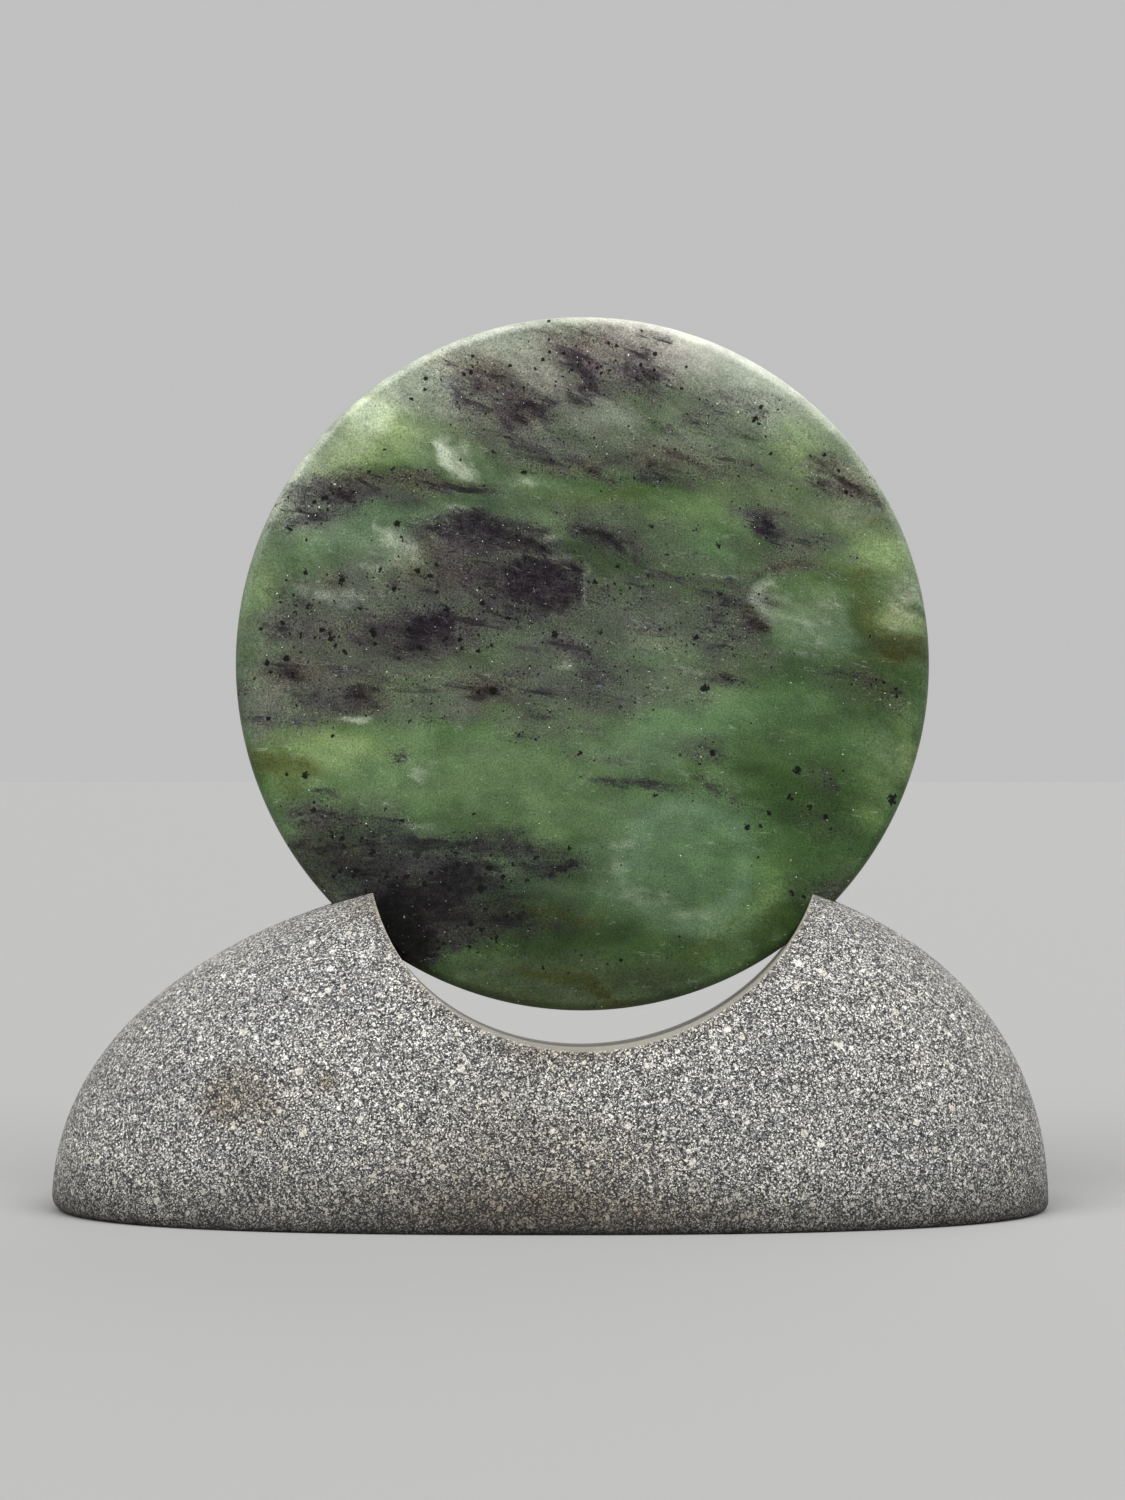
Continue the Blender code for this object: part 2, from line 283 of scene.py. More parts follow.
# Purple-grey haze between the clouds
HAZE = [
    (-14, 73, 16, 6, 62, -8), (-8, 57, 13, 7, 46, -16), (38, 44, 14, 7, 34, -16), (52, 32, 16, 5, 24),
    (8, 32, 14, 5, 36, -10), (-75, -12, 5, 6, 66), (-48, 22, 9, 7, 40), (20, 24, 14, 4, 40, -10),
    (-24, 62, 16, 8, 75, -16), (6, 68, 13, 10, 88), (33, 57, 13, 6, 62, -10), (8, 51, 18, 5, 50, -18),
    (22, 46, 16, 4.5, 60, -8), (-8, 48, 16, 5, 62, -12), (58.5, 43, 9, 5, 72, -30),
    (-63, 37.5, 9, 6.5, 85, 20), (-46, 41, 14, 4, 70), (-25, 25, 14, 9, 92, -5), (-12, 16, 14, 9, 80),
    (-38, 16, 14, 7, 72, -6), (-56, 14, 12, 6, 66, -14), (-63, 8, 12, 6, 80), (-40, 7, 17, 6.5, 85),
    (-66, -5, 13, 8.5, 88), (-50, -5, 11, 6.5, 76), (-22, -5.5, 17, 5.5, 80), (-36, -8, 10, 5, 44),
    (-8, 2, 12, 9, 62), (4, 6, 10, 9, 60), (14, 12, 12, 7, 70, -10), (27, 8, 15, 9, 75, -15),
    (36, 12, 7, 6.5, 60, -30), (5, -7, 12, 6, 70), (-8, -13, 10, 4.5, 42), (21, -5, 12, 4, 55),
    (3, -21, 7, 2.6, 38), (28, -21, 5, 3.2, 42), (45, 24, 8, 3.2, 42, 14), (45, 29.5, 8, 4.4, 55, -26),
    (53, 27, 8, 3.2, 45), (64, -5, 9, 4, 20, -10), (0, -73, 28, 5, 34), (54, -26, 6, 4.4, 10, -40),
    (54, -36, 8, 4.2, 10, -10), (-61, -34.5, 10, 3, 34), (-45, -48, 24, 12, 80, -8),
    (-14, -47, 12, 6, 40, -10), (-18, -57, 15, 5, 36, -4), (57, -51, 6, 4, 60),
]

# Where the clouds and the haze turn from violet to brown
WARM = [
    (2, 74, 9, 3.4, 60), (-44, 43, 14, 3.4, 95), (-27, 69.6, 8, 3, 95, -14), (-3.4, 76, 5.6, 2.4, 80),
    (-38.5, 23.5, 4, 4.6, 85), (-29, 20, 6, 4, 40), (-24, 64.5, 9, 2.4, 40, -17),
    (-17.5, 55.8, 4, 2.4, 40, -20), (-9.5, 45, 7, 2.4, 70, -12), (3, 44, 5, 3, 85, -30),
    (24, 46, 14, 3.4, 75, -8), (59, 42, 9, 5, 90, -28), (45, 22, 9, 2.4, 75, 10),
    (40.6, 9, 4, 3, 90, -35), (-49.5, -6.5, 7, 4.4, 60, 6), (-66, -3, 6, 3.4, 60),
    (-62, 8, 10, 4.4, 20), (-20.5, -6.2, 6, 4, 70), (-56, 19, 3.4, 3, 70), (-18, -58, 14, 4, 40, -4),
    (-60, -42, 8, 8, 55), (29, -28, 8, 2.4, 60, -30), (54, -34, 13, 11, 70, -12), (67, -6, 10, 6, 90),
    (0, -73, 28, 5, 70), (34, -3.2, 4.4, 2, 60, -8), (57, -51, 6, 4, 60),
]

# Yellow-green and white glows
GLOW = [
    (47, -43, 14, 11, 10), (24, -58, 22, 5, 14), (46, 49, 17, 9, 24, -10), (-52, 44, 8, 2.4, 16, 20),
    (38, 37, 13, 4, 18), (-42, 64.4, 9, 4.2, 46, 36), (-20, 73, 12, 3.4, 24, -8), (70, 13, 5.4, 5, 20),
    (58, 34, 10, 3, 22), (-39, 54, 7, 5, 22, -50), (-62, -24.4, 8, 3, 26, -4), (67, -26, 5, 8, 20),
    (-47.6, 58, 6, 4.2, 80, 34), (-50, 53.4, 12, 5.4, 38, 30), (-47, 49.2, 12, 3.8, 34, 12),
    (-57, 47.6, 7, 3.6, 32, 36), (-74, 16.6, 3.4, 4.2, 34), (-71, 20, 5, 4.4, 18),
    (-57.4, -17.8, 13, 4.4, 42, -2), (-53, -21.6, 9, 4, 22), (67, 26.6, 7.4, 4.8, 44, -28),
    (73, 23.4, 4.4, 3.4, 26, -50), (50.6, 52, 5, 8, 26, -10), (43, -52, 4.4, 6, 34),
    (65, -35, 4.6, 2.6, 28), (75.6, -22, 2.4, 15, 38, 14), (25, 34.4, 12, 3.4, 18, -6),
    (17, 33.2, 4.2, 2.6, 22), (73, 9.6, 6, 3, 50, -10), (-75.6, -7, 2.4, 5, 26),
]

# Milky patches and veins
MILK = [
    (-32, 48, 3.4, 1.6, 82, -72), (-29.8, 46.4, 4.6, 3.6, 52, -50), (-25.4, 43, 3.6, 2, 40, -34),
    (-12, 41.2, 6, 1, 34, -12), (41.2, 16.2, 1.7, 3.6, 46, 14), (43.4, 13, 3.4, 4.4, 16),
    (48.4, 13, 7, 7.4, 12), (52, 4, 6.4, 4.2, 16, -35), (56.4, 11, 3.6, 6, 14),
    (73.6, 14, 4.6, 6.4, 34), (-36.4, -25.8, 3, 1.4, 52), (-36, -22.6, 3.4, 1.2, 30),
    (-45, 28.4, 3.6, 3.2, 36), (-40.4, 25, 3.6, 4.4, 40), (-47, 32, 1, 1.2, 45),
    (-47.4, 22.8, 4.4, 1.3, 34, 18), (-53, 15, 8.4, 3.6, 22, -20), (-62, 16.8, 5, 1.8, 26, -14),
    (-4.8, -0.6, 2.4, 1.3, 36), (-22, 2.4, 2.8, 0.9, 30), (-51, -12.8, 3.2, 0.7, 58, 3),
    (-27, 34.8, 3.4, 0.8, 45), (-10.6, 24.4, 8, 0.7, 56, -4), (0.9, 17.6, 0.8, 4.6, 50, 4),
    (-34.4, 30.4, 0.9, 3.2, 40, 18), (-6.2, 29, 1.8, 1.2, 40), (15, -53.8, 5.4, 2.2, 30, -16),
    (24.4, -57.4, 4.4, 1.5, 36), (9, -45.4, 3.4, 6.4, 26), (-38, -37.2, 4, 0.9, 34),
    (25.4, -1, 3.4, 1.3, 30, -10), (46, -15, 5, 3, 16),
]

# A silvery veil of painted sheen, mostly near the top
PAINTED_SHEEN = [
    (-34, 54, 7, 7, 34), (-20, 44, 14, 4, 20, -10), (30, 52, 9, 5, 30, -20), (14, 8, 7, 5, 16),
    (28, -8, 7, 4, 14), (3.6, 57.6, 8.6, 2.8, 80, -28), (-6, 62.6, 6.4, 2.3, 60, -34),
    (-15, 69.6, 7, 3.6, 62, -10), (-9, 66, 6.4, 3, 55, -30), (-37, 66, 8, 3.6, 60, 27),
    (-33, 60.6, 8.6, 3.2, 45, -25), (-20, 74, 10, 2.6, 55, -10), (24.6, 70, 6.6, 5, 66, -24),
    (31, 66.4, 10, 5, 66, -30), (42, 58.4, 7.6, 4.2, 42, -42), (-40, 61, 6.4, 4.2, 40),
    (-63, 45.4, 3.6, 7.4, 45, -36), (8, 76.6, 8, 1.4, 30, -6), (22, 56, 10, 5, 26, -18),
    (-12, 52.6, 10, 3, 26, -20), (68, 44, 3, 5, 40, 36), (62, 34.6, 5, 2, 24, -10),
]

# Blue-green depths, and a pale ring among them: its middle, its radius and half its breadth
TEAL = [
    (-25, -46.6, 13, 3.4, 60, -12), (-10, -52, 9, 3.4, 50, -16), (-36, 27, 5, 4, 24),
    (-12, 34, 14, 4, 46, -6), (-30, 38, 14, 3.4, 40), (-51, 29.6, 12, 5.4, 90, 2),
    (-40, 35, 14, 2.4, 50), (-18, 37.4, 10, 1.8, 40), (8, 25, 8, 3, 36, -14), (14, 30, 5, 3, 30),
    (54, 6, 9, 7, 55, -20), (24, -13, 12, 5, 42, -4), (44, -12, 10, 6, 18), (14, -20, 10, 4, 50),
    (8, -50, 7, 8, 50), (22, -36, 14, 4.4, 42), (24, -46, 15, 13, 46), (28, 24, 8, 5, 36),
    (-14, 4, 7, 4, 36), (12, 1, 8, 5, 30),
]
PALE_RING = (24.0, -46.4, 13.0, 3.4)

# Clear bright green, and the darkest green
LEAF = [
    (24, -46, 18, 14, 56), (40, -11, 20, 7, 40), (24, 27, 9, 5, 30), (52, -42, 14, 10, 40),
    (50, 11, 11, 9, 80), (-37, 54, 7, 6.4, 66), (-40, 47.6, 6, 3, 56, -20), (-18, -23, 32, 8, 90),
    (-46, -16, 10, 4, 62), (-50, -26, 12, 4.6, 66, -4), (-38, -31, 12, 4.4, 60),
    (-10, -34, 16, 5.4, 70), (8, -34, 12, 4.4, 60), (26, 35, 16, 4.6, 60, -4), (31, 29, 5.4, 4.6, 60),
    (50, 49, 5.6, 9, 46, -8), (45, 38, 9, 3, 34, -10), (-66, 23, 6, 4.6, 46),
    (-18, 46, 9, 2.2, 40, -16), (-4, 40, 10, 2, 44, -4), (62, -16, 12, 9, 34, -20),
    (44, -46, 6, 12, 62), (64, -36, 7, 5, 46, 30), (34, -60, 7, 5.4, 62, 20), (66, 22, 9, 4.4, 40, -20),
    (60, 10, 3.4, 7, 20), (2, -14, 10, 3.6, 36),
]
DEEP_GREEN = [
    (52, -41, 16, 10, 52), (3, 22.6, 10, 3.6, 60, -10), (14, 20.4, 12, 2.4, 50, -6),
    (0, 35.4, 13, 2.2, 40, -6), (-34, 36.6, 14, 1.2, 34), (49, -22, 11, 9, 60, -20),
    (54, -33, 10, 7, 70, -20), (62, -12, 10, 5, 40), (58, -1, 12, 3.6, 62, -6), (69, -4, 8, 6.4, 74),
    # the rows at (46.5, -60) and (52, -53), beside the right horn, are partly painted shade
    (57, 20, 10, 2.4, 56, -8), (63.4, 14, 3.4, 9, 72, 8), (46.5, -60, 7, 4.6, 92, 50),
    (52, -53, 5, 3.6, 60, 40), (-2, -62, 22, 5, 98, -5), (22, -67, 16, 4.6, 62, 10),
    (-18, -58, 17, 6, 66, -4), (-2, -69, 30, 3.4, 50, -4), (-30, -37, 18, 1.5, 36), (40, -22, 6, 8, 36),
    (66, -46, 5, 9, 46, -40), (20, 40, 18, 1.2, 36),
]

# Olive and brown stains
STAIN = [
    (-71.4, -22.2, 7.4, 2.8, 66, -6), (-75.4, -19.4, 3, 2, 60), (-63.6, -24.2, 7, 2.4, 46, -6),
    (-69, -28.2, 4.4, 2, 42), (73.4, 3.6, 7.4, 2.8, 80, 2), (64.4, 15, 2.6, 8, 36, 8),
    (66, 8.6, 4.4, 2.6, 32, -42), (71, 32.6, 8, 1.2, 55, -8), (-6, -71.8, 13, 1.6, 70, -12),
    (2.6, -74, 6.4, 1.9, 62, -34), (8, -76.2, 9, 1.3, 50, -12), (-18, -75, 9, 1.6, 40, -12),
    (17, 40.4, 15, 1.1, 30, 2), (3, 38.4, 9, 1.5, 42), (-31, 40.8, 8.4, 1, 50, -4),
    (60, 22, 10, 0.9, 46, -6), (-12, -57, 11, 2.4, 55, -6), (0, -59, 9, 1.4, 46, -8),
    (30, -65, 6.4, 2, 34, 30), (50, 51, 5, 7, 24), (21, 73, 3, 1.4, 34, -30), (-36, -3, 5, 3, 20),
]

# Where the whole stone leans to mauve, and where to a purer green
MAUVE = [
    (-10, -45, 9, 4, 40, -10), (8, 71, 16, 8, 95), (-16, 64, 14, 7, 60, -16), (-22, 54, 12, 4, 50, -16),
    (24, 62, 10, 6, 40, -20), (-10, 36, 12, 3.4, 45, -10), (4, 28, 10, 4, 55, -20),
    (-24, 24, 14, 8, 50), (-6, 16, 8, 6, 50), (-38, 6, 16, 6, 70), (-60, 4, 12, 5, 30),
    (54, 14, 10, 7, 55), (71, 10, 8, 9, 60), (-50, -57, 12, 6, 50), (-38, -55, 14, 10, 85, 20),
    (-57, -42, 10, 6, 35), (-64, -14, 12, 5, 36), (66, -25, 8, 6, 50), (56, 36, 14, 4, 45),
]
VERDANT = [
    (50, -36, 18, 6, 50), (-40, -41, 9, 5, 35), (53, -43, 14, 15, 95), (57, -24, 9, 9, 65),
    (24, -46, 18, 16, 40), (-36, -42, 16, 5, 90, -6), (-18, -50, 16, 8, 80, -6), (-52, -36, 12, 4, 40),
    (40, -10, 24, 8, 50), (16, 43, 14, 4, 60), (24, 26, 10, 5, 45), (24, 5, 14, 8, 35),
    (20, -70, 24, 6, 50), (-35, -5, 8, 4, 60), (43, 52, 12, 6, 40),
]

# Where the whole stone is darker, and where it is lighter. The darker patches low at both sides, beside
# the stand's horns, are partly painted shade.
SHADE = [
    (-43, -56, 7, 3.4, 36), (-52, 34, 8, 2.2, 14), (-42, -46, 12, 5, 24), (-44, -55, 6, 6, 30),
    (15, -25, 16, 3, 20), (46, -56, 5, 5, 24), (16, -52, 14, 8, 20), (-75, -26, 4, 4, 30),
    (-64, -46, 6, 6, 40), (-5, 78, 6, 3, 16), (43, -66, 8, 4, 40), (45, -6, 5, 4, 20),
    (57, -34, 8, 5, 20), (-18, -54, 14, 5, 20), (-46, 16, 6, 4, 16), (4, 26, 6, 4, 14, -20),
    (70, 5, 8, 4.4, 50), (0, -73, 30, 4, 34), (0, -45, 7, 5, 20), (24, 15, 6, 4, 20),
    (36, -65, 5, 4, 44), (-66, 26, 4, 5, 20), (46, -50, 4, 8, 20), (-42, -61, 9, 11, 90, 20),
    (-54, -44, 9, 7, 30), (-22, -56, 16, 7, 66, -4), (-52, -46, 14, 7, 52, -10), (-24, -45, 14, 6, 42),
    (-6, -47, 8, 5, 42), (-5, -64, 12, 5, 46), (15, -56, 8, 6, 34), (-18, -75, 14, 4, 36, -10),
    (17, -75, 8, 4, 40), (54, -37, 13, 8, 34, -10), (50, -48, 9, 6, 32), (64, -42, 7, 7, 28),
    (-40, 6, 10, 5, 36), (-45, 35, 9, 4, 28), (-21, 37, 9, 2.8, 60), (-14, 27, 7, 5, 26, -20),
    (5, 26, 8, 4, 40, -20), (37, 15, 5, 5, 26), (60, -8, 12, 6, 20), (74, -15, 4, 6, 20),
]
LIFT = [
    (-25, 4, 7, 4, 24), (-5, 4, 6, 4, 26), (-35, -5, 6, 4, 26), (-15, 56, 8, 5, 28, -16),
    (-34, 56, 6, 4, 26), (35, 16, 5, 4, 26), (76, 25, 4, 5, 30), (76, -5, 4, 5, 30),
    (-35, 29, 5, 5, 20), (-14, 65, 6, 5, 20), (34, 66, 6, 4, 14, -30), (-32, 33, 6, 5, 24),
    (-64, 34, 6, 4, 70), (34, -68, 5, 3, 24), (25, 4, 8, 5, 16), (-6, -3, 6, 6, 20),
    (-76, 10, 4, 8, 20), (-25, 65, 7, 4, 30, -16), (-5, 55, 5, 4, 24), (60, -44, 8, 8, 16),
    (-27, -48, 10, 5, 20), (24, -10, 8, 5, 10), (8, 72, 12, 6, 30), (-25, 62, 10, 6, 20, -16),
    (-70, 37, 5, 5, 20), (65, -42, 6, 6, 20), (-9, 25, 7, 3, 16, -20), (34, -25, 7, 5, 16),
    (14, -25, 6, 4, 16), (-66, -36, 6, 4, 24), (44, 56, 8, 5, 24), (-40, -45, 9, 4, 36),
    (0, 75, 9, 3, 24), (-5, 5, 5, 4, 24), (36, 16, 4, 4, 16), (-75, -16, 4, 5, 20),
    (-54, 55, 6, 4, 24, 30), (-2, 70, 12, 8, 40), (-54, -5, 8, 6, 36), (-64, -15, 9, 5, 46),
    (-56, 36, 6, 5, 34), (-43, -38, 10, 6, 24), (15, 66, 9, 7, 24), (-14, 73, 16, 7, 50, -6),
    (-34, 65, 14, 7, 50, 30), (-24, 57, 10, 8, 50, -15), (-5, 57, 10, 9, 42), (14, 54, 12, 6, 30, -10),
    (37, 47, 16, 7, 42, -10), (52, 37, 18, 6, 46), (-64, 44, 5, 6, 60), (-35, 46, 7, 5, 36),
    (-5, 41, 10, 5, 40), (3, 34, 7, 4, 34), (58, 22, 10, 7, 50), (50, 12, 8, 8, 26),
    (70, 18, 8, 10, 36), (-54, 20, 8, 9, 75), (-43, 25, 6, 6, 50), (-75, 6, 5, 12, 36),
    (22, 5, 9, 7, 60), (14, -6, 8, 6, 55), (30, -10, 10, 8, 46), (-34, -7, 9, 6, 60),
    (-25, -11, 10, 7, 34), (-74, -11, 6, 8, 80), (-62, -25, 12, 6, 60), (-40, -20, 14, 8, 44),
    (-5, -18, 14, 10, 25), (67, -26, 7, 7, 34), (36, -64, 6, 4, 46), (-75, -14, 4, 4, 30),
    (44, 54, 6, 4, 24), (5, -66, 5, 4, 30),
]

# Layers that are kept as they are: name, rows, how far the edges waver, how soft they are, and seed
LAYERS = (
    ("haze", HAZE, 2.2, 0.60, 101),
    ("warm", WARM, 1.6, 0.80, 151),
    ("glow", GLOW, 1.0, 0.85, 201),
    ("milk", MILK, 0.8, 0.85, 301),
    # the silvery veil is painted sheen
    ("painted_sheen", PAINTED_SHEEN, 1.4, 0.80, 351),
    ("leaf", LEAF, 2.0, 0.85, 451),
    ("deep", DEEP_GREEN, 1.8, 0.75, 501),
    ("stain", STAIN, 1.4, 0.90, 601),
)

# Single black specks: place and radius
SPECKS = [
    (-21.6, 74.9, 0.5), (-23.8, 68, 0.7), (-67, 31.4, 0.9), (-62.9, 32.4, 0.6), (-42.4, 32, 0.9),
    (-41.4, 28.6, 0.5), (-63.5, 21.1, 0.6), (-55, 19.4, 0.7), (-55.1, 18.2, 0.5), (-37.8, 21.1, 0.6),
    (-35, 20.2, 0.6), (-33.4, 22.6, 0.5), (-59.2, 38.1, 0.75), (-66, 38.8, 0.5), (-43.2, 44.4, 0.5),
    (-48.9, 43.9, 0.4), (-28, 46.8, 0.4), (-20.5, 48.3, 0.5), (-13.4, 43.8, 0.6), (-13, 23.9, 0.6),
    (-8.9, 26.8, 0.5), (-19.9, 15.2, 0.5), (-23.1, 14, 0.6), (-33.3, 16.2, 0.5), (-31.2, 12.4, 0.7),
    (-47.9, 7, 0.8), (-57.5, 5.8, 0.8), (-54.4, 2.6, 0.5), (-67.8, 1.4, 0.8), (-52, 39.2, 0.5),
    (2.8, 74.4, 0.65), (6.7, 73, 0.55), (14.1, 66.7, 0.5), (18, 74, 0.55), (15.4, 76.2, 0.5),
    (39.4, 56, 0.7), (43, 48.2, 0.45), (31.2, 27, 0.6), (26, 25.4, 0.4), (31.4, 16.1, 0.6),
    (2.8, 18.5, 0.6), (4.1, 7.3, 0.6), (25.9, 6, 0.7), (34.8, 2.2, 0.5), (8, 22.2, 0.4),
    (15.6, 31.4, 0.5), (26.4, 30.6, 0.4), (-77.6, -13.1, 0.6), (-75.6, -10, 0.4), (-63.4, -25.6, 0.75),
    (-57.3, -16.6, 0.5), (-72.7, -23.3, 0.5), (-24, -6.6, 0.5), (-20.5, -6.3, 0.9), (-14.2, -16.4, 0.5),
    (-39.5, -13.4, 0.4), (-41.3, -36, 0.6), (-66, -38.4, 0.6), (-62.3, -37, 0.4), (-54.9, -41.7, 0.5),
    (-57.4, -45, 0.5), (-48.3, -43.6, 0.5), (-52.3, -47.1, 0.5), (-21.2, -46.7, 0.6),
    (-23.2, -51.6, 0.9), (-18.2, -51.2, 0.5), (-25.6, -59.6, 0.6), (-22.2, -56.1, 0.5),
    (-7.7, -10.8, 0.5), (-0.6, -20.6, 0.5), (-24.9, -34.3, 0.4), (-29.8, -67, 0.45), (28, -5.7, 0.9),
    (14.2, -7.3, 0.35), (22.5, -21, 0.45), (29.8, -20.6, 0.8), (49.2, -24.5, 0.9), (47.5, -30.7, 0.7),
    (42.8, -34.2, 0.55), (52, -32.8, 0.6), (55.5, -35.2, 0.6), (37.6, -37.5, 0.7), (40.5, -37.3, 0.5),
    (61, -42.3, 0.85), (71.4, -30.9, 1.64), (48, -52.4, 0.55), (71.4, -19.2, 0.5), (16.6, -30.4, 0.5),
    (4.8, -42.3, 0.4), (8.7, -10, 0.4), (-57.5, -38.8, 0.5), (-56.7, -43.6, 0.45), (-45.7, -49.3, 0.5),
    (-36.1, -50.5, 0.5), (-20.3, -57.7, 0.45), (-32.1, -50.5, 0.45), (-3.1, -42.1, 0.5),
    (-42.4, -48.9, 0.5), (-60, -47.4, 0.4), (-63.9, -41.2, 0.5), (-50.4, -40.2, 0.45), (-46, -44, 0.4),
    (-33, -44.6, 0.4), (-16, -46, 0.45), (-65.8, -38.5, 0.66), (-66.1, -40, 0.56), (-61.5, -33.5, 0.66),
    (-59.1, -42.9, 0.66), (-54.6, -41.7, 0.61), (-55, -39.9, 0.51), (-56.7, -45.3, 0.56),
    (-51.9, -47.4, 0.66), (-48.1, -43.1, 0.66), (-65.3, -41.7, 0.56), (-43.5, -50.8, 0.56),
    (-40.4, -48.6, 0.66), (-36.1, -50.8, 0.66), (-34.7, -47.9, 0.56), (-30.4, -51.7, 0.61),
    (-28.9, -43.4, 0.56), (-23.2, -51.4, 0.76), (-21.5, -46.9, 0.66), (-18.4, -48.8, 0.51),
    (-25.6, -59.4, 0.71), (-23, -60.8, 0.51), (-17.4, -57.8, 0.56), (-19.8, -62.7, 0.51),
    (-12.6, -49.8, 0.51), (-10.7, -44.5, 0.51), (-37.6, -60.3, 0.61), (-41.9, -57.9, 0.56),
    (-46.7, -49.3, 0.51), (-43.3, 17, 0.6), (-28.3, 5.5, 0.6), (-31.3, 5.5, 0.55), (-47.6, 4.3, 0.6),
    (-57.9, 7, 0.6), (-56.7, 4.2, 0.55), (-68.6, 9.3, 0.65), (-21.1, 4.2, 0.55), (-23.8, 2.9, 0.55),
    (-27.5, 3.4, 0.5), (-62.7, 13.2, 0.55), (-46.2, 21.3, 0.55), (-72.5, 1, 0.55), (-16.9, 10.6, 0.55),
    (-6.4, 6.7, 0.65), (-59.8, 7.7, 0.55), (-39.5, 7.7, 0.6), (-51, 13, 0.5), (-37.1, 3.4, 0.6),
    (-64.4, 6.3, 0.5), (-66.5, -2.4, 0.6),
]
FARTHEST_SPECK = 2.0

# How whitened the outer band is by painted sheen and the very rim by a painted highlight, in degrees
# round the disc from its right side, counter-clockwise
BAND_SHEEN_ANGLES = (0, 20, 30, 40, 50, 60, 70, 78, 85, 95, 110, 130, 150, 165, 180, 200, 230, 340, 360)
BAND_SHEEN_STRENGTHS = (0.0, 0.08, 0.10, 0.22, 0.54, 0.84, 0.92, 0.66, 0.36, 0.24,
                   0.28, 0.34, 0.20, 0.08, 0.02, 0.0, 0.0, 0.0, 0.0)
BAND_SHEEN_START = 60.0  # millimetres from the disc's middle, as the next two
RIM_START = 77.2
RIM_END = 79.4
RIM_ANGLES = (0, 20, 40, 60, 80, 100, 140, 165, 185, 210, 340, 360)
RIM_STRENGTHS = (0.04, 0.12, 0.36, 0.55, 0.50, 0.42, 0.30, 0.10, 0.0, 0.0, 0.0, 0.04)

# Brown stains on the stand's front, as the clouds above but from the middle of its foot. The two broad
# rows low in the middle are partly painted shade.
STAND_STAINS_AND_SHADE = [
    (-8, 5, 30, 6, 80), (-5, 16, 32, 8, 50), (25, 5, 24, 4, 30), (-60, 8, 22, 4, 20),
    (3, 38, 12, 4, 40), (-11, 29, 10, 8, 22), (-68, 28, 8, 7, 60), (-48, 33, 2.2, 1.8, 90, 30),
    (-66, 30, 12, 6, 28), (-58, 14, 9, 5, 20), (-44, 69, 5, 3, 40, 20),
]
GROUND_FACE = 0.004  # how near to the notch's own surface a point is on its ground face
EDGE_STAIN = 0.28
EDGE_STAIN_REACH = 0.10
EDGE_STAIN_FOOT = NOTCH_FLOOR_HEIGHT - 0.012


class StoneField:
    """The greenstone's inner pattern at a set of points, in millimetres from the disc's middle."""

    SLOPE = 0.17  # of the streaks at the disc's middle, falling to the right
    SLOPE_GAIN_UP = 0.0026  # more of it for each millimetre up
    SLOPE_GAIN_RIGHT = 0.0012  # and for each millimetre to the right
    DIP = 0.45  # how far the pattern shifts down for each millimetre into the stone

    def __init__(self, right, up, depth):
        self.right = right
        self.up = up + self.DIP * depth
        self.depth = depth
        slope = self.SLOPE + self.SLOPE_GAIN_UP * up + 0.5 * self.SLOPE_GAIN_RIGHT * right
        self.bed = self.up + right * slope

    def streaks(self, length, width, octaves, seed):
        """Fractal noise drawn out along the beds."""
        points = np.stack([self.right / length, self.bed / width, self.depth / width], axis=1)
        return fractal(points, octaves, seed)

    def patches(self, rows, waver, softness, seed, spread=1.0):
        """Joins wavering ovals into one density from 0 to 1. A row's tilt is one number or none."""
        right = self.right + waver * 2.2 * self.streaks(11.0, 5.0, 4, seed)
        up = self.up + waver * self.streaks(9.0, 4.0, 4, seed + 40)
        clear = np.ones(len(right))
        for across, height, half_length, half_width, percent, *tilt in rows:
            along, aside = turned(right - across, up - height, sum(tilt))
            distance = np.hypot(along / half_length, aside / half_width) / spread
            inside = 1.0 - smoothstep(1.0 - softness, 1.0 + softness, distance)
            clear *= 1.0 - percent / 100.0 * inside
        return 1.0 - clear

    def ringed(self, ring, seed):
        """A faint wavering ring."""
        across, height, radius, breadth = ring
        waver = 1.6 * self.streaks(9.0, 7.0, 3, seed)
        distance = np.hypot(self.right - across, self.up - height) + waver
        return 0.95 * np.exp(-(((distance - radius) / breadth) ** 2))

    def block(self, row, squareness, seed):
        """One nearly square cloud, firm along its top and right side and fading to the left and below."""
        across, height, half_length, half_width, tilt = row
        right = self.right + 0.5 * self.streaks(5.0, 4.0, 4, seed) - across
        up = self.up + 0.4 * self.streaks(5.0, 4.0, 4, seed + 40) - height
        along, aside = turned(right, up, tilt)
        length_share = np.abs(along) / half_length
        width_share = np.abs(aside) / half_width
        distance = (length_share**squareness + width_share**squareness) ** (1.0 / squareness)
        loose = smoothstep(0.1, 0.9, -along / half_length) + smoothstep(0.2, 1.0, -aside / half_width)
        softness = 0.04 + 0.24 * np.clip(loose, 0.0, 1.0)
        return 1.0 - smoothstep(1.0 - softness, 1.0 + softness, distance)

    def vault(self, oval, seed):
        """A cloud that is firm along the top of an oval and fades away under it."""
        across, height, half_length, half_width = oval
        right = self.right + 0.7 * self.streaks(6.0, 4.0, 4, seed)
        up = self.up + 0.5 * self.streaks(6.0, 4.0, 4, seed + 40)
        distance = np.hypot((right - across) / half_length, (up - height) / half_width)
        inside = (1.0 - distance) * half_width
        band = smoothstep(*VAULT_RIM, inside) * (1.0 - smoothstep(*VAULT_UNDERSIDE, inside))
        band = band * smoothstep(*VAULT_LEFT_END, right) * smoothstep(*VAULT_RIGHT_END, right)
        return band * (up > height)

    def speck_distance(self, rows):
        """Millimetres to the rim of the nearest single speck, which lies in the front face."""
        nearest = np.full(len(self.right), FARTHEST_SPECK)
        for across, height, radius in rows:
            far = np.sqrt((self.right - across) ** 2 + (self.up - height) ** 2 + self.depth**2)
            nearest = np.minimum(nearest, far - radius)
        return nearest


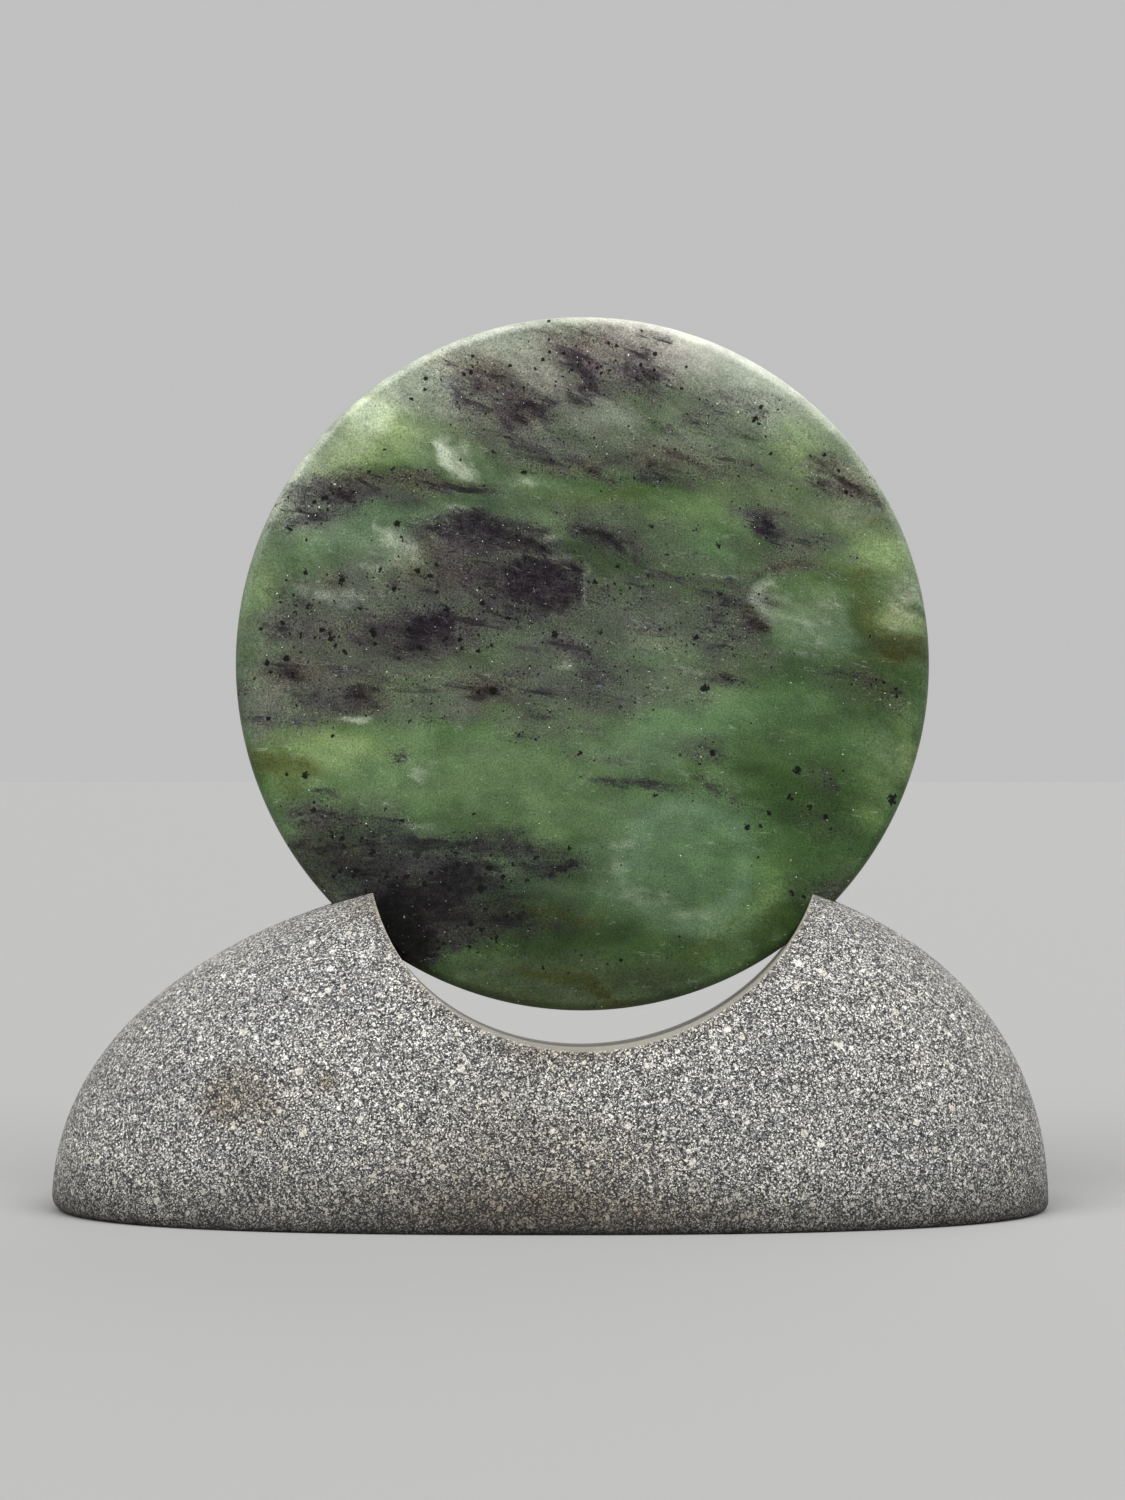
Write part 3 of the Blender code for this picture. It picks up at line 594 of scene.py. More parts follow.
def disc_profile():
    """The front shoulder's radius, and (radius, offset) pairs from there to the rim."""
    low = DISC_THICKNESS / 2.0 - DISC_DOME_DROP
    turn = min(DISC_EDGE_ROUND, low)
    shoulder = DISC_RADIUS - turn
    points = []
    for step in range(1, EDGE_STEPS + 1):
        angle = QUARTER_TURN * step / EDGE_STEPS
        points.append((shoulder + turn * math.sin(angle), low - turn + turn * math.cos(angle)))
    return shoulder, points


def face_height(radius, shoulder):
    """How far a face stands from the disc's middle plane at a radius inside the shoulder."""
    share = max(0.0, (radius - (shoulder - DISC_DOME_WIDTH)) / DISC_DOME_WIDTH)
    return DISC_THICKNESS / 2.0 - DISC_DOME_DROP * share**2


def sew(inner, outer, faces):
    """Joins two rings, with any number of points each, by triangles. The outer one faces the viewer."""
    here, there = 0, 0
    while here < len(inner) or there < len(outer):
        corners = (inner[here % len(inner)], outer[there % len(outer)])
        if (there + 1) / len(outer) <= (here + 1) / len(inner):
            there += 1
            faces.append((*corners, outer[there % len(outer)]))
        else:
            here += 1
            faces.append((*corners, inner[here % len(inner)]))


def build_disc_mesh():
    """Points about the disc's centre and faces of the whole disc."""
    shoulder, edge = disc_profile()
    rings = []
    for number in range(1, FRONT_RINGS + 1):
        radius = shoulder * number / FRONT_RINGS
        rings.append((radius, face_height(radius, shoulder), 6 * number))
    count = 6 * FRONT_RINGS
    rings += [(radius, offset, count) for radius, offset in edge]
    rings += [(radius, -offset, count) for radius, offset in reversed(edge)]
    for number in range(BACK_RINGS, 0, -1):
        radius = shoulder * number / BACK_RINGS
        rings.append((radius, -face_height(radius, shoulder), 6 * number))
    rings.append((0.0, -DISC_THICKNESS / 2.0, 1))
    points = [(0.0, -DISC_THICKNESS / 2.0, 0.0)]
    faces = []
    before = [0]
    for radius, offset, count in rings:
        after = list(range(len(points), len(points) + count))
        for number in range(count):
            angle = 4.0 * QUARTER_TURN * number / count
            points.append((radius * math.cos(angle), -offset, radius * math.sin(angle)))
        sew(before, after, faces)
        before = after
    return np.array(points), faces


def painted_rim_sheen(right, up):
    """How far the painted sheen on the outer band and the painted highlight on the very rim whiten each
    point.
    """
    radius = np.hypot(right, up)
    degrees = np.degrees(np.arctan2(up, right)) % 360.0
    share = np.clip((radius - BAND_SHEEN_START) / (DISC_RADIUS / MM - BAND_SHEEN_START), 0.0, 1.0)
    band = 0.97 * np.interp(degrees, BAND_SHEEN_ANGLES, BAND_SHEEN_STRENGTHS) * share**2.5
    rim = np.interp(degrees, RIM_ANGLES, RIM_STRENGTHS) * smoothstep(RIM_START, RIM_END, radius)
    return 1.0 - (1.0 - band) * (1.0 - rim)


def build_disc(material):
    points, faces = build_disc_mesh()
    mesh = bpy.data.meshes.new("polished_disc")
    mesh.from_pydata([tuple(point) for point in points + np.array(DISC_CENTRE)], [], faces)
    mesh.update()
    mesh.shade_smooth()
    mesh.materials.append(material)
    disc = add_object("polished_disc", mesh)
    right = points[:, 0] / MM
    up = points[:, 2] / MM
    depth = (points[:, 1] + DISC_THICKNESS / 2.0) / MM
    field = StoneField(right, up, depth)
    for name, rows, waver, softness, seed in LAYERS:
        store(disc, name, field.patches(rows, waver, softness, seed))
    store(disc, "cloud", field.patches(CLOUDS, 0.9, 0.80, 1, 1.12))
    firm = np.maximum(field.patches(CORES, 0.6, 0.45, 1), VAULT_STRENGTH * field.vault(VAULT, 5))
    block = field.block(BLOCK, BLOCK_SQUARENESS, 9)
    store(disc, "firm", np.maximum(firm, BLOCK_STRENGTH * block))
    teal = field.patches(TEAL, 2.0, 0.85, 401)
    store(disc, "teal", np.maximum(teal, field.ringed(PALE_RING, 302)))
    lean = field.patches(MAUVE, 1.8, 0.80, 621) - field.patches(VERDANT, 1.8, 0.80, 621)
    store(disc, "lean", 0.5 + 0.5 * lean)
    # placed lighter and darker tone, partly painted shade beside the stand's horns
    tone = field.patches(LIFT, 1.8, 0.85, 651) - field.patches(SHADE, 1.8, 0.80, 651)
    store(disc, "tone", 0.5 + 0.5 * tone)
    store(disc, "speck", field.speck_distance(SPECKS))
    # painted sheen on the outer band and painted highlight on the rim
    store(disc, "painted_rim_sheen", painted_rim_sheen(right, up))
    store(disc, "bed", field.bed * MM)
    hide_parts("greenstone_disc")
    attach(disc, "root")


def reach(height, full_reach, fullness):
    """How far the boulder reaches at a height, from its full reach at the ground."""
    share = min(height / STAND_CROWN_HEIGHT, 1.0)
    return full_reach * (1.0 - share**fullness) ** (1.0 / fullness)


def section(height):
    """The middle and the two half-widths of the boulder's level section."""
    left = STAND_CROWN_OFFSET - reach(height, STAND_LENGTH / 2.0 + STAND_CROWN_OFFSET, LEFT_FULLNESS)
    right = STAND_CROWN_OFFSET + reach(height, STAND_LENGTH / 2.0 - STAND_CROWN_OFFSET, RIGHT_FULLNESS)
    half_depth = reach(height, STAND_DEPTH / 2.0, DEPTH_FULLNESS)
    return (left + right) / 2.0, (right - left) / 2.0, half_depth


def signed_power(value, exponent):
    """A power that keeps the value's sign."""
    return math.copysign(abs(value) ** exponent, value)


def stand_point(angle, height, inset=0.0):
    """A point of the boulder's skin, or as far inside it as the inset."""
    middle, half_length, half_depth = section(height)
    along = signed_power(math.cos(angle), 2.0 / PLAN_FULLNESS)
    across = signed_power(math.sin(angle), 2.0 / PLAN_FULLNESS)
    skin = Vector((middle + half_length * along, half_depth * across, height))
    if inset == 0.0:
        return skin
    slope_along = signed_power(along, PLAN_FULLNESS - 1.0) / half_length
    slope_across = signed_power(across, PLAN_FULLNESS - 1.0) / half_depth
    return skin - Vector((slope_along, slope_across, 0.0)).normalized() * inset


def arris_round(angle):
    """The lower edge's rounding, which grows towards the left end."""
    from_left = STAND_LENGTH / 2.0 * (1.0 + math.cos(angle))
    share = max(0.0, 1.0 - from_left / LEFT_ARRIS_REACH)
    blend = share * share * (3.0 - 2.0 * share)
    return ARRIS_ROUND + (LEFT_ARRIS_ROUND - ARRIS_ROUND) * blend


def even_angles(count):
    """Angles that space points about evenly round the boulder's longest level section."""
    fine = [4.0 * QUARTER_TURN * number / (count * 8) for number in range(count * 8 + 1)]
    outline = np.array([stand_point(angle, ARRIS_ROUND) for angle in fine])
    travelled = np.concatenate([[0.0], np.cumsum(np.linalg.norm(np.diff(outline, axis=0), axis=1))])
    wanted = travelled[-1] * np.arange(count) / count
    return list(np.interp(wanted, travelled, fine))


def build_boulder():
    """The half boulder before it is cut: the rounded lower edge, then the dome."""
    angles = even_angles(STAND_FACETS)
    rings = []
    for step in range(ARRIS_STEPS):
        turn = QUARTER_TURN * step / ARRIS_STEPS
        ring = []
        for angle in angles:
            rounding = arris_round(angle)
            skin = stand_point(angle, rounding, rounding * (1.0 - math.sin(turn)))
            skin.z = rounding * (1.0 - math.cos(turn))
            ring.append(skin)
        rings.append(ring)
    for step in range(STAND_RINGS):
        rise = math.sin(QUARTER_TURN * step / STAND_RINGS)
        ring = []
        for angle in angles:
            lowest = arris_round(angle)
            ring.append(stand_point(angle, lowest + (STAND_CROWN_HEIGHT - lowest) * rise))
        rings.append(ring)
    shape = bmesh.new()
    rings = [[shape.verts.new(point) for point in ring] for ring in rings]
    crown = shape.verts.new((STAND_CROWN_OFFSET, 0.0, STAND_CROWN_HEIGHT))
    for lower, upper in zip(rings, rings[1:]):
        for number in range(STAND_FACETS):
            after = (number + 1) % STAND_FACETS
            shape.faces.new((lower[number], lower[after], upper[after], upper[number]))
    top = rings[-1]
    for number in range(STAND_FACETS):
        shape.faces.new((top[number], top[(number + 1) % STAND_FACETS], crown))
    shape.faces.new(list(reversed(rings[0])))
    return shape


def add_cutter(name, radius_back, radius_front, stretch, place):
    """A closed round or oval core along Y, to cut the stand with."""
    shape = bmesh.new()
    bmesh.ops.create_cone(
        shape,
        cap_ends=True,
        segments=CUTTER_FACETS,
        radius1=radius_back,
        radius2=radius_front,
        depth=stretch[2],
    )
    bmesh.ops.scale(shape, vec=(stretch[0], stretch[1], 1.0), verts=shape.verts)
    bmesh.ops.transform(shape, matrix=place, verts=shape.verts)
    return add_shape(name, shape)


class Notch:
    """The leaning, flaring ellipse of the notch, worked out from the disc's seat."""

    def __init__(self):
        rise = DAYLIGHT + DISC_RADIUS * (1.0 - math.cos(SEAT_ANGLE))
        half_chord = DISC_RADIUS * math.sin(SEAT_ANGLE)
        self.short = ((half_chord / NOTCH_STRETCH) ** 2 + rise**2) / (2.0 * rise)
        self.long = self.short * NOTCH_STRETCH
        sine = math.sin(math.radians(NOTCH_LEAN))
        cosine = math.cos(math.radians(NOTCH_LEAN))
        drop = math.hypot(self.long * sine, self.short * cosine)
        shift = (self.long**2 - self.short**2) * sine * cosine / drop
        self.centre = Vector((DISC_CENTRE.x + shift, 0.0, NOTCH_FLOOR_HEIGHT + drop))

    def share(self, points):
        """How far out each point lies from the notch's axis: 1 is on its surface."""
        across = points[:, 0] - self.centre.x
        height = points[:, 2] - self.centre.z
        along, aside = turned(across, height, NOTCH_LEAN)
        flare = 1.0 + points[:, 1] * math.tan(NOTCH_FLARE) / self.short
        return np.hypot(along / self.long, aside / self.short) / flare

    def cutter(self):
        """The core that cuts the notch, wider at the back."""
        spread = STAND_DEPTH * math.tan(NOTCH_FLARE) / self.short
        upright = Matrix.Rotation(QUARTER_TURN, 4, "X")
        lean = Matrix.Rotation(math.radians(NOTCH_LEAN), 4, "Z")
        place = Matrix.Translation(self.centre) @ upright @ lean
        size = (self.long, self.short, STAND_DEPTH * 2.0)
        return add_cutter("notch_core", 1.0 + spread, 1.0 - spread, size, place)


def groove_cutter():
    """The core that cuts the groove, the disc's own shape with some clearance."""
    radius = DISC_RADIUS + SEAT_CLEARANCE
    place = Matrix.Translation(DISC_CENTRE) @ Matrix.Rotation(QUARTER_TURN, 4, "X")
    width = DISC_THICKNESS + 2.0 * SIDE_CLEARANCE
    return add_cutter("groove_core", radius, radius, (1.0, 1.0, width), place)


def build_stand(material):
    stand = add_shape("carved_stand", build_boulder())
    notch = Notch()
    cutters = [notch.cutter(), groove_cutter()]
    for cutter in cutters:
        modifier = stand.modifiers.new("Cut", "BOOLEAN")
        modifier.operation = "DIFFERENCE"
        modifier.solver = "EXACT"
        modifier.object = cutter
    graph = bpy.context.evaluated_depsgraph_get()
    result = bpy.data.meshes.new_from_object(stand.evaluated_get(graph))
    stand.modifiers.clear()
    stand.data = result
    for cutter in cutters:
        bpy.data.objects.remove(cutter)
    result.materials.clear()
    result.materials.append(material)
    result.shade_smooth()
    result.set_sharp_from_angle(angle=SHARP_EDGE)
    mark_stains_and_shade(stand, notch)
    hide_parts("stone_stand")
    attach(stand, "root")


def mark_stains_and_shade(stand, notch):
    """Marks the notch's ground face, and the brown stains, partly painted shade, on the stand's points.
    """
    flat = np.empty(len(stand.data.vertices) * 3, dtype=np.float32)
    stand.data.vertices.foreach_get("co", flat)
    points = flat.reshape(-1, 3).astype(np.float64)
    outward = notch.share(points) - 1.0
    store(stand, "ground", 1.0 - smoothstep(0.0, GROUND_FACE, np.abs(outward)))
    right, depth, up = points.T / MM
    field = StoneField(right, up, depth)
    field.up = up
    front = smoothstep(10.0, -10.0, depth)
    edge = smoothstep(EDGE_STAIN_REACH, 0.0, outward) * (points[:, 2] > EDGE_STAIN_FOOT)
    # brown stains, the broad middle ones partly painted shade
    placed = field.patches(STAND_STAINS_AND_SHADE, 1.5, 0.8, 701) * front
    store(stand, "stain", 1.0 - (1.0 - placed) * (1.0 - EDGE_STAIN * edge))


class Paint:
    """Short ways to build one material from shader nodes, coat by coat. A value is another node's
    output, a number, a vector or a linear colour's red, green and blue.
    """

    def __init__(self, name):
        self.material = bpy.data.materials.new(name)
        self.material.use_nodes = True
        self.tree = self.material.node_tree
        self.shader = self.tree.nodes["Principled BSDF"]
        self.place = self.add("TexCoord", {})["Object"]
        self.body = None  # the colour so far

    def feed(self, value, socket):
        """Links a socket to another node's output, or sets it."""
        if isinstance(value, bpy.types.NodeSocket):
            self.tree.links.new(value, socket)
        elif socket.type == "RGBA":
            socket.default_value = (*value, 1.0)
        else:
            socket.default_value = value

    def add(self, kind, inputs, **settings):
        """Adds a node with these settings and inputs, by number or by name, and returns its outputs."""
        node = self.tree.nodes.new("ShaderNode" + kind)
        for name, value in settings.items():
            setattr(node, name, value)
        for key, value in inputs.items():
            self.feed(value, node.inputs[key])
        return node.outputs

    def surface(self, values):
        """Feeds the surface shader's own sockets, by name, and returns the finished material."""
        for name, value in values.items():
            self.feed(value, self.shader.inputs[name])
        return self.material

    def math(self, operation, *values, clamp=False):
        return self.add("Math", dict(enumerate(values)), operation=operation, use_clamp=clamp)[0]

    def times(self, first, second, more=0.0):
        """The product of two values, and one more value added."""
        return self.math("MULTIPLY_ADD", first, second, more)

    def rest(self, value):
        """What is left of 1."""
        return self.math("SUBTRACT", 1.0, value)

    def about(self, value, strength, base=0.0):
        """A noise taken about its middle, at some strength."""
        return self.times(self.math("SUBTRACT", value, 0.5), strength, base)

    def ramp(self, value, low, high, low_out=0.0, high_out=1.0, smooth=True):
        """Turns a range of values into another, held at both ends."""
        inputs = dict(enumerate((value, low, high, low_out, high_out)))
        kind = "SMOOTHSTEP" if smooth else "LINEAR"
        return self.add("MapRange", inputs, interpolation_type=kind, clamp=True)[0]

    def mix(self, share, first, second, blend="MIX"):
        """Mixes two colours."""
        inputs = {0: share, 6: first, 7: second}
        return self.add("Mix", inputs, data_type="RGBA", blend_type=blend)[2]

    def coat(self, share, colour):
        """Lays a colour over the body."""
        self.body = self.mix(share, self.body, colour)

    def tint(self, colour):
        """Multiplies the body by a colour or a value."""
        self.body = self.mix(1.0, self.body, colour, "MULTIPLY")

    def stretch(self, vector, scale):
        return self.add("VectorMath", {0: vector, 1: scale}, operation="MULTIPLY")[0]

    def shift(self, vector, offset):
        return self.add("VectorMath", {0: vector, 1: offset}, operation="ADD")[0]

    def grain(self, vector, size, detail=2.0, roughness=0.5, distortion=0.0, output="Fac"):
        """Noise with features of about this size in metres, from 0 to 1."""
        inputs = {"Vector": vector, "Scale": 1.0 / size, "Detail": detail}
        inputs |= {"Roughness": roughness, "Distortion": distortion}
        return self.add("TexNoise", inputs)[output]

    def bend(self, vector, grain, size):
        """Shifts each place by a coloured noise, up to this many metres."""
        return self.shift(vector, self.stretch(grain, (size, size, size)))

    def cells(self, vector, size):
        """Voronoi cells of this size in metres: their distance and three scattered numbers."""
        found = self.add("TexVoronoi", {"Vector": vector, "Scale": 1.0 / size, "Randomness": 1.0})
        return found["Distance"], *self.add("SeparateColor", {0: found["Color"]})

    def scatter(self, vector, size, share, small, growth, power=1.0, soft=0.04, strength=1.0):
        """Round grains in a share of the cells: their cover, and a scattered number for each grain.
        Their radius, in cells, runs from small to small + growth. A soft of 0 is a hard edge.
        """
        far, chance, girth, tint = self.cells(vector, size)
        radius = self.times(self.math("POWER", girth, power), growth, small)
        if soft:
            cover = self.ramp(self.math("SUBTRACT", radius, far), -0.01, soft, 0.0, strength)
        else:
            cover = self.math("LESS_THAN", far, radius)
        return self.times(self.math("LESS_THAN", chance, share), cover), tint

    def stored(self, name):
        """A number kept on the mesh's points."""
        return self.add("Attribute", {}, attribute_name=name)["Fac"]

    def steps(self, value, *stops):
        """A colour for each value from 0 to 1, from (position, red, green, blue) stops."""
        node = self.tree.nodes.new("ShaderNodeValToRGB")
        while len(node.color_ramp.elements) < len(stops):
            node.color_ramp.elements.new(0.5)
        for element, (position, *colour) in zip(node.color_ramp.elements, stops):
            element.position = position
            element.color = (*colour, 1.0)
        self.feed(value, node.inputs[0])
        return node.outputs[0]

    def bump(self, height, strength, distance):
        return self.add("Bump", {"Height": height, "Strength": strength, "Distance": distance})[0]


def make_nephrite():
    paint = Paint("nephrite")
    place, stored, grain, scatter = paint.place, paint.stored, paint.grain, paint.scatter
    times, rest, about, ramp, steps = paint.times, paint.rest, paint.about, paint.ramp, paint.steps
    mix, coat, tint = paint.mix, paint.coat, paint.tint
    haze, cloud, warm, milk, glow, rim_sheen = [
        stored(name) for name in ("haze", "cloud", "warm", "milk", "glow", "painted_rim_sheen")
    ]

    # Streak coordinates: across the face, up through the beds, and into the stone
    across, inward, _ = paint.add("SeparateXYZ", {0: place})
    laid = paint.add("CombineXYZ", {0: across, 1: stored("bed"), 2: inward})[0]
    mild = paint.stretch(laid, (0.72, 1.0, 1.0))
    beds = paint.stretch(laid, (0.42, 1.0, 1.0))
    drawn = paint.stretch(laid, (0.22, 1.0, 1.0))
    broad = grain(mild, 0.0085, 4.0, 0.58, 0.3)
    streak = grain(beds, 0.0024, 4.0, 0.62, 0.4)
    mid = grain(beds, 0.0046, 5.0, 0.66, 0.5)
    mottle = grain(mild, 0.0024, 4.0, 0.60)
    grit = grain(place, 0.00042, 2.0, 0.8)

    # The clear greens and the glows
    paint.body = mix(ramp(broad, 0.36, 0.64), (0.035, 0.070, 0.021), (0.066, 0.110, 0.046))
    coat(times(stored("leaf"), 0.85), (0.092, 0.146, 0.065))
    coat(times(stored("teal"), 0.80), (0.112, 0.168, 0.102))
    coat(times(stored("deep"), 0.90), (0.022, 0.044, 0.010))
    yellow = ((0.0, 0.100, 0.160, 0.044), (0.55, 0.180, 0.250, 0.100), (1.0, 0.44, 0.53, 0.34))
    coat(ramp(glow, 0.0, 0.80), steps(glow, *yellow))

    # Haze and milk veils, a silvery painted sheen, and stains
    hazy = times(rest(paint.math("POWER", rest(haze), 1.5)), ramp(mid, 0.36, 0.62, 0.74, 1.0))
    coat(hazy, mix(warm, (0.067, 0.070, 0.058), (0.080, 0.071, 0.052)))
    milky = ramp(about(mottle, 1.0, about(mid, 0.5, milk)), 0.06, 1.0, 0.0, 0.95)
    coat(times(milky, ramp(milk, 0.02, 0.20)), (0.36, 0.41, 0.31))
    # a silvery painted sheen
    coat(times(stored("painted_sheen"), ramp(mottle, 0.34, 0.62, 0.60, 0.95)), (0.172, 0.196, 0.148))
    stain = times(stored("stain"), ramp(streak, 0.34, 0.62, 0.70, 1.0))
    olive = ((0.0, 0.070, 0.082, 0.022), (0.60, 0.046, 0.052, 0.012), (1.0, 0.036, 0.037, 0.008))
    coat(ramp(stain, 0.0, 0.85), steps(stain, *olive))

    # The outer band's painted sheen and the rim's painted highlight, whitest at the upper right
    coat(times(rim_sheen, ramp(mottle, 0.34, 0.60, 0.88, 1.04)), (0.57, 0.60, 0.51))

    # Dark clouds, broken up into grains and feathers
    wisps = ramp(grain(beds, 0.0034, 5.0, 0.66, 0.8), 0.51, 0.68, 0.0, 0.60)
    present = ramp(times(haze, 0.5, cloud), 0.04, 0.30)
    crumbs = grain(mild, 0.0013, 3.0, 0.7)
    fade = rest(times(rim_sheen, 0.65))
    edge = about(mottle, 1.6, about(mid, 1.2, about(streak, 1.1, times(wisps, haze, cloud))))
    veil = times(ramp(edge, 0.06, 1.00, 0.0, 0.90), present)
    veil = times(times(veil, ramp(crumbs, 0.40, 0.58, 0.84, 1.0)), fade)
    coat(veil, mix(warm, (0.034, 0.029, 0.035), (0.042, 0.034, 0.027)))
    firm = times(cloud, 0.36, stored("firm"))
    firm = about(mottle, 2.1, about(mid, 1.4, about(streak, 1.0, firm)))
    core = times(ramp(firm, 0.28, 1.32), present)
    core = times(times(core, ramp(crumbs, 0.40, 0.58, 0.68, 1.0)), fade)
    coat(core, mix(warm, (0.0068, 0.0046, 0.0074), (0.0100, 0.0056, 0.0056)))

    # Fine dark and pale threads along the beds
    murk = paint.math("MULTIPLY_ADD", haze, 0.7, cloud, clamp=True)
    threads = grain(drawn, 0.0024, 3.0, 0.62, 0.6)
    dark_line = times(ramp(threads, 0.555, 0.665, 0.0, 0.85), ramp(times(cloud, 1.2, murk), 0.3, 1.5))
    coat(dark_line, (0.014, 0.013, 0.014))
    off_line = paint.math("ABSOLUTE", paint.math("SUBTRACT", threads, 0.43))
    pale_line = times(ramp(off_line, 0.0, 0.018, 1.0, 0.0), ramp(mottle, 0.52, 0.62, 0.0, 0.36))
    coat(pale_line, (0.28, 0.32, 0.25))

    # Slow changes of tone, and the placed ones, partly painted shade beside the stand's horns
    tone = stored("tone")
    slow = grain(paint.shift(mild, (0.31, 0.17, 0.23)), 0.0058, 5.0, 0.60, 0.4)
    tint(steps(slow, (0.30, 0.80, 0.81, 0.82), (0.50, 1.06, 1.06, 1.07), (0.70, 1.34, 1.31, 1.29)))
    tint(steps(tone, (0.0, 0.22, 0.29, 0.23), (0.5, 1.0, 1.0, 1.0), (1.0, 1.60, 1.58, 1.60)))
    tint(steps(stored("lean"), (0.0, 0.89, 1.06, 0.84), (0.5, 1.0, 1.0, 1.0), (1.0, 1.09, 0.93, 1.02)))

    # A sandy grain, stronger where the stone is clouded
    depth = times(times(cloud, 0.34, times(murk, 0.22, 0.42)), rest(times(rim_sheen, 0.7)))
    tint(ramp(about(grit, 3.0, 0.5), 0.0, 1.0, rest(depth), paint.math("ADD", 1.0, depth), smooth=False))

    # Black specks: the large ones one by one, and small ones thicker where the stone is clouded
    bent = paint.bend(place, grain(place, 0.0007, 1.0, output="Color"), 0.0008)
    single = ramp(about(grain(place, 0.0008, 2.0, 0.6), 2.2, stored("speck")), -0.10, 0.12, 1.0, 0.0)
    spot, _ = scatter(bent, 0.0015, times(murk, 0.56, 0.015), 0.10, 0.30, 3.0, 0.03)
    dusty = paint.shift(bent, (0.021, 0.005, 0.011))
    dust, _ = scatter(dusty, 0.00085, times(murk, 0.40, 0.01), 0.12, 0.16, strength=0.8)
    black = paint.math("MAXIMUM", paint.math("MAXIMUM", spot, dust), single)
    coat(times(black, 0.96), (0.0015, 0.0015, 0.0012))

    # Small pale flecks in the clouded stone, and tiny white glints
    flecked = paint.shift(bent, (0.005, 0.019, 0.007))
    fleck, _ = scatter(flecked, 0.00095, times(murk, 0.34, 0.06), 0.12, 0.16, soft=0.05, strength=0.55)
    coat(times(fleck, rest(black)), mix(1.0, paint.body, (2.1, 2.1, 2.1), "MULTIPLY"))
    glittering = paint.shift(bent, (0.013, 0.007, 0.003))
    glint, _ = scatter(glittering, 0.0012, times(murk, 0.24, 0.08), 0.07, 0.07, 4.0, soft=0.0)
    coat(times(glint, ramp(tone, 0.1, 0.45, 0.40, 0.95)), (0.86, 0.90, 0.80))

    return paint.surface({
        "Base Color": paint.body,
        "Roughness": ramp(grit, 0.3, 0.7, 0.32, 0.40),
        "IOR": 1.61,
        "Specular IOR Level": 0.16,
        "Subsurface Weight": 0.10,
        "Subsurface Radius": (0.7, 1.0, 0.5),
        "Subsurface Scale": 0.0006,
        "Normal": paint.bump(grain(place, 0.0009, 3.0, 0.6), 0.08, 0.00006),
    })


def make_andesite():
    paint = Paint("andesite")
    place, grain, times, ramp, steps = paint.place, paint.grain, paint.times, paint.ramp, paint.steps
    mix, coat, tint = paint.mix, paint.coat, paint.tint
    wobble = grain(place, 0.0009, 2.0, output="Color")
    bent = paint.bend(place, wobble, 0.00014)
    more_bent = paint.bend(place, wobble, 0.0006)

    # Ground mass: crisp grains of feldspar and dark minerals in two sizes
    _, coarse, _, _ = paint.cells(bent, 0.00037)
    _, fine, fine_chance, _ = paint.cells(bent, 0.00025)
    coarse_grains = steps(
        coarse,
        (0.0, 0.003, 0.003, 0.004),
        (0.27, 0.013, 0.013, 0.015),
        (0.46, 0.070, 0.070, 0.071),
        (0.68, 0.190, 0.188, 0.181),
        (0.86, 0.50, 0.49, 0.46),
        (1.0, 0.94, 0.92, 0.86),
    )
    fine_grains = steps(
        fine,
        (0.0, 0.004, 0.004, 0.005),
        (0.35, 0.045, 0.045, 0.046),
        (0.70, 0.25, 0.247, 0.236),
        (1.0, 0.84, 0.83, 0.78),
    )
    paint.body = mix(paint.math("LESS_THAN", fine_chance, 0.46), coarse_grains, fine_grains)

    # Pale crystals, scattered one by one, in three sizes: size, share of cells, radius and its growth
    for size, share, small, growth in (
        (0.0042, 0.66, 0.06, 0.18),
        (0.0021, 0.74, 0.12, 0.18),
        (0.0011, 0.50, 0.14, 0.22),
    ):
        crystal, cream = paint.scatter(more_bent, size, share, small, growth, 2.0, 0.03)
        crystal_colour = mix(cream, (0.56, 0.51, 0.42), (0.86, 0.85, 0.80))
        coat(times(crystal, ramp(coarse, 0.0, 0.8, 0.45, 0.90)), crystal_colour)

    # Dark flakes
    flaked = paint.shift(more_bent, (0.017, 0.009, 0.005))
    flake, _ = paint.scatter(flaked, 0.0010, 0.42, 0.12, 0.20, strength=0.85)
    coat(flake, (0.022, 0.021, 0.022))

    # Broad, slow changes of tone
    cloudiness = grain(place, 0.022, 3.0, 0.55)
    tint(steps(cloudiness, (0.30, 0.88, 0.89, 0.92), (0.50, 1.0, 1.0, 1.0), (0.70, 1.09, 1.08, 1.05)))

    # The ground face of the notch is paler and finer
    ground = paint.stored("ground")
    coat(times(ground, 0.60), (0.46, 0.44, 0.39))

    # Brown stains, partly painted shade across the middle of the front, and the foot darker towards
    # the ground, partly dirt and partly painted shade
    tint(mix(paint.stored("stain"), (1.0, 1.0, 1.0), (0.45, 0.38, 0.28)))
    height = paint.add("SeparateXYZ", {0: place})[2]
    ragged = times(grain(place, 0.006, 3.0, 0.6), 0.006, height)
    tint(steps(
        ramp(ragged, 0.003, 0.018, smooth=False),
        (0.0, 0.19, 0.18, 0.17),
        (0.18, 0.36, 0.35, 0.34),
        (0.50, 0.72, 0.72, 0.71),
        (1.0, 1.0, 1.0, 1.0),
    ))

    rough_height = times(coarse, 0.6, grain(place, 0.0006, 3.0, 0.6))
    rough_height = times(rough_height, times(ground, -0.85, 1.0))
    skin = paint.bump(rough_height, 0.45, 0.00022)
    return paint.surface({"Base Color": paint.body, "Roughness": 0.86, "Normal": skin})


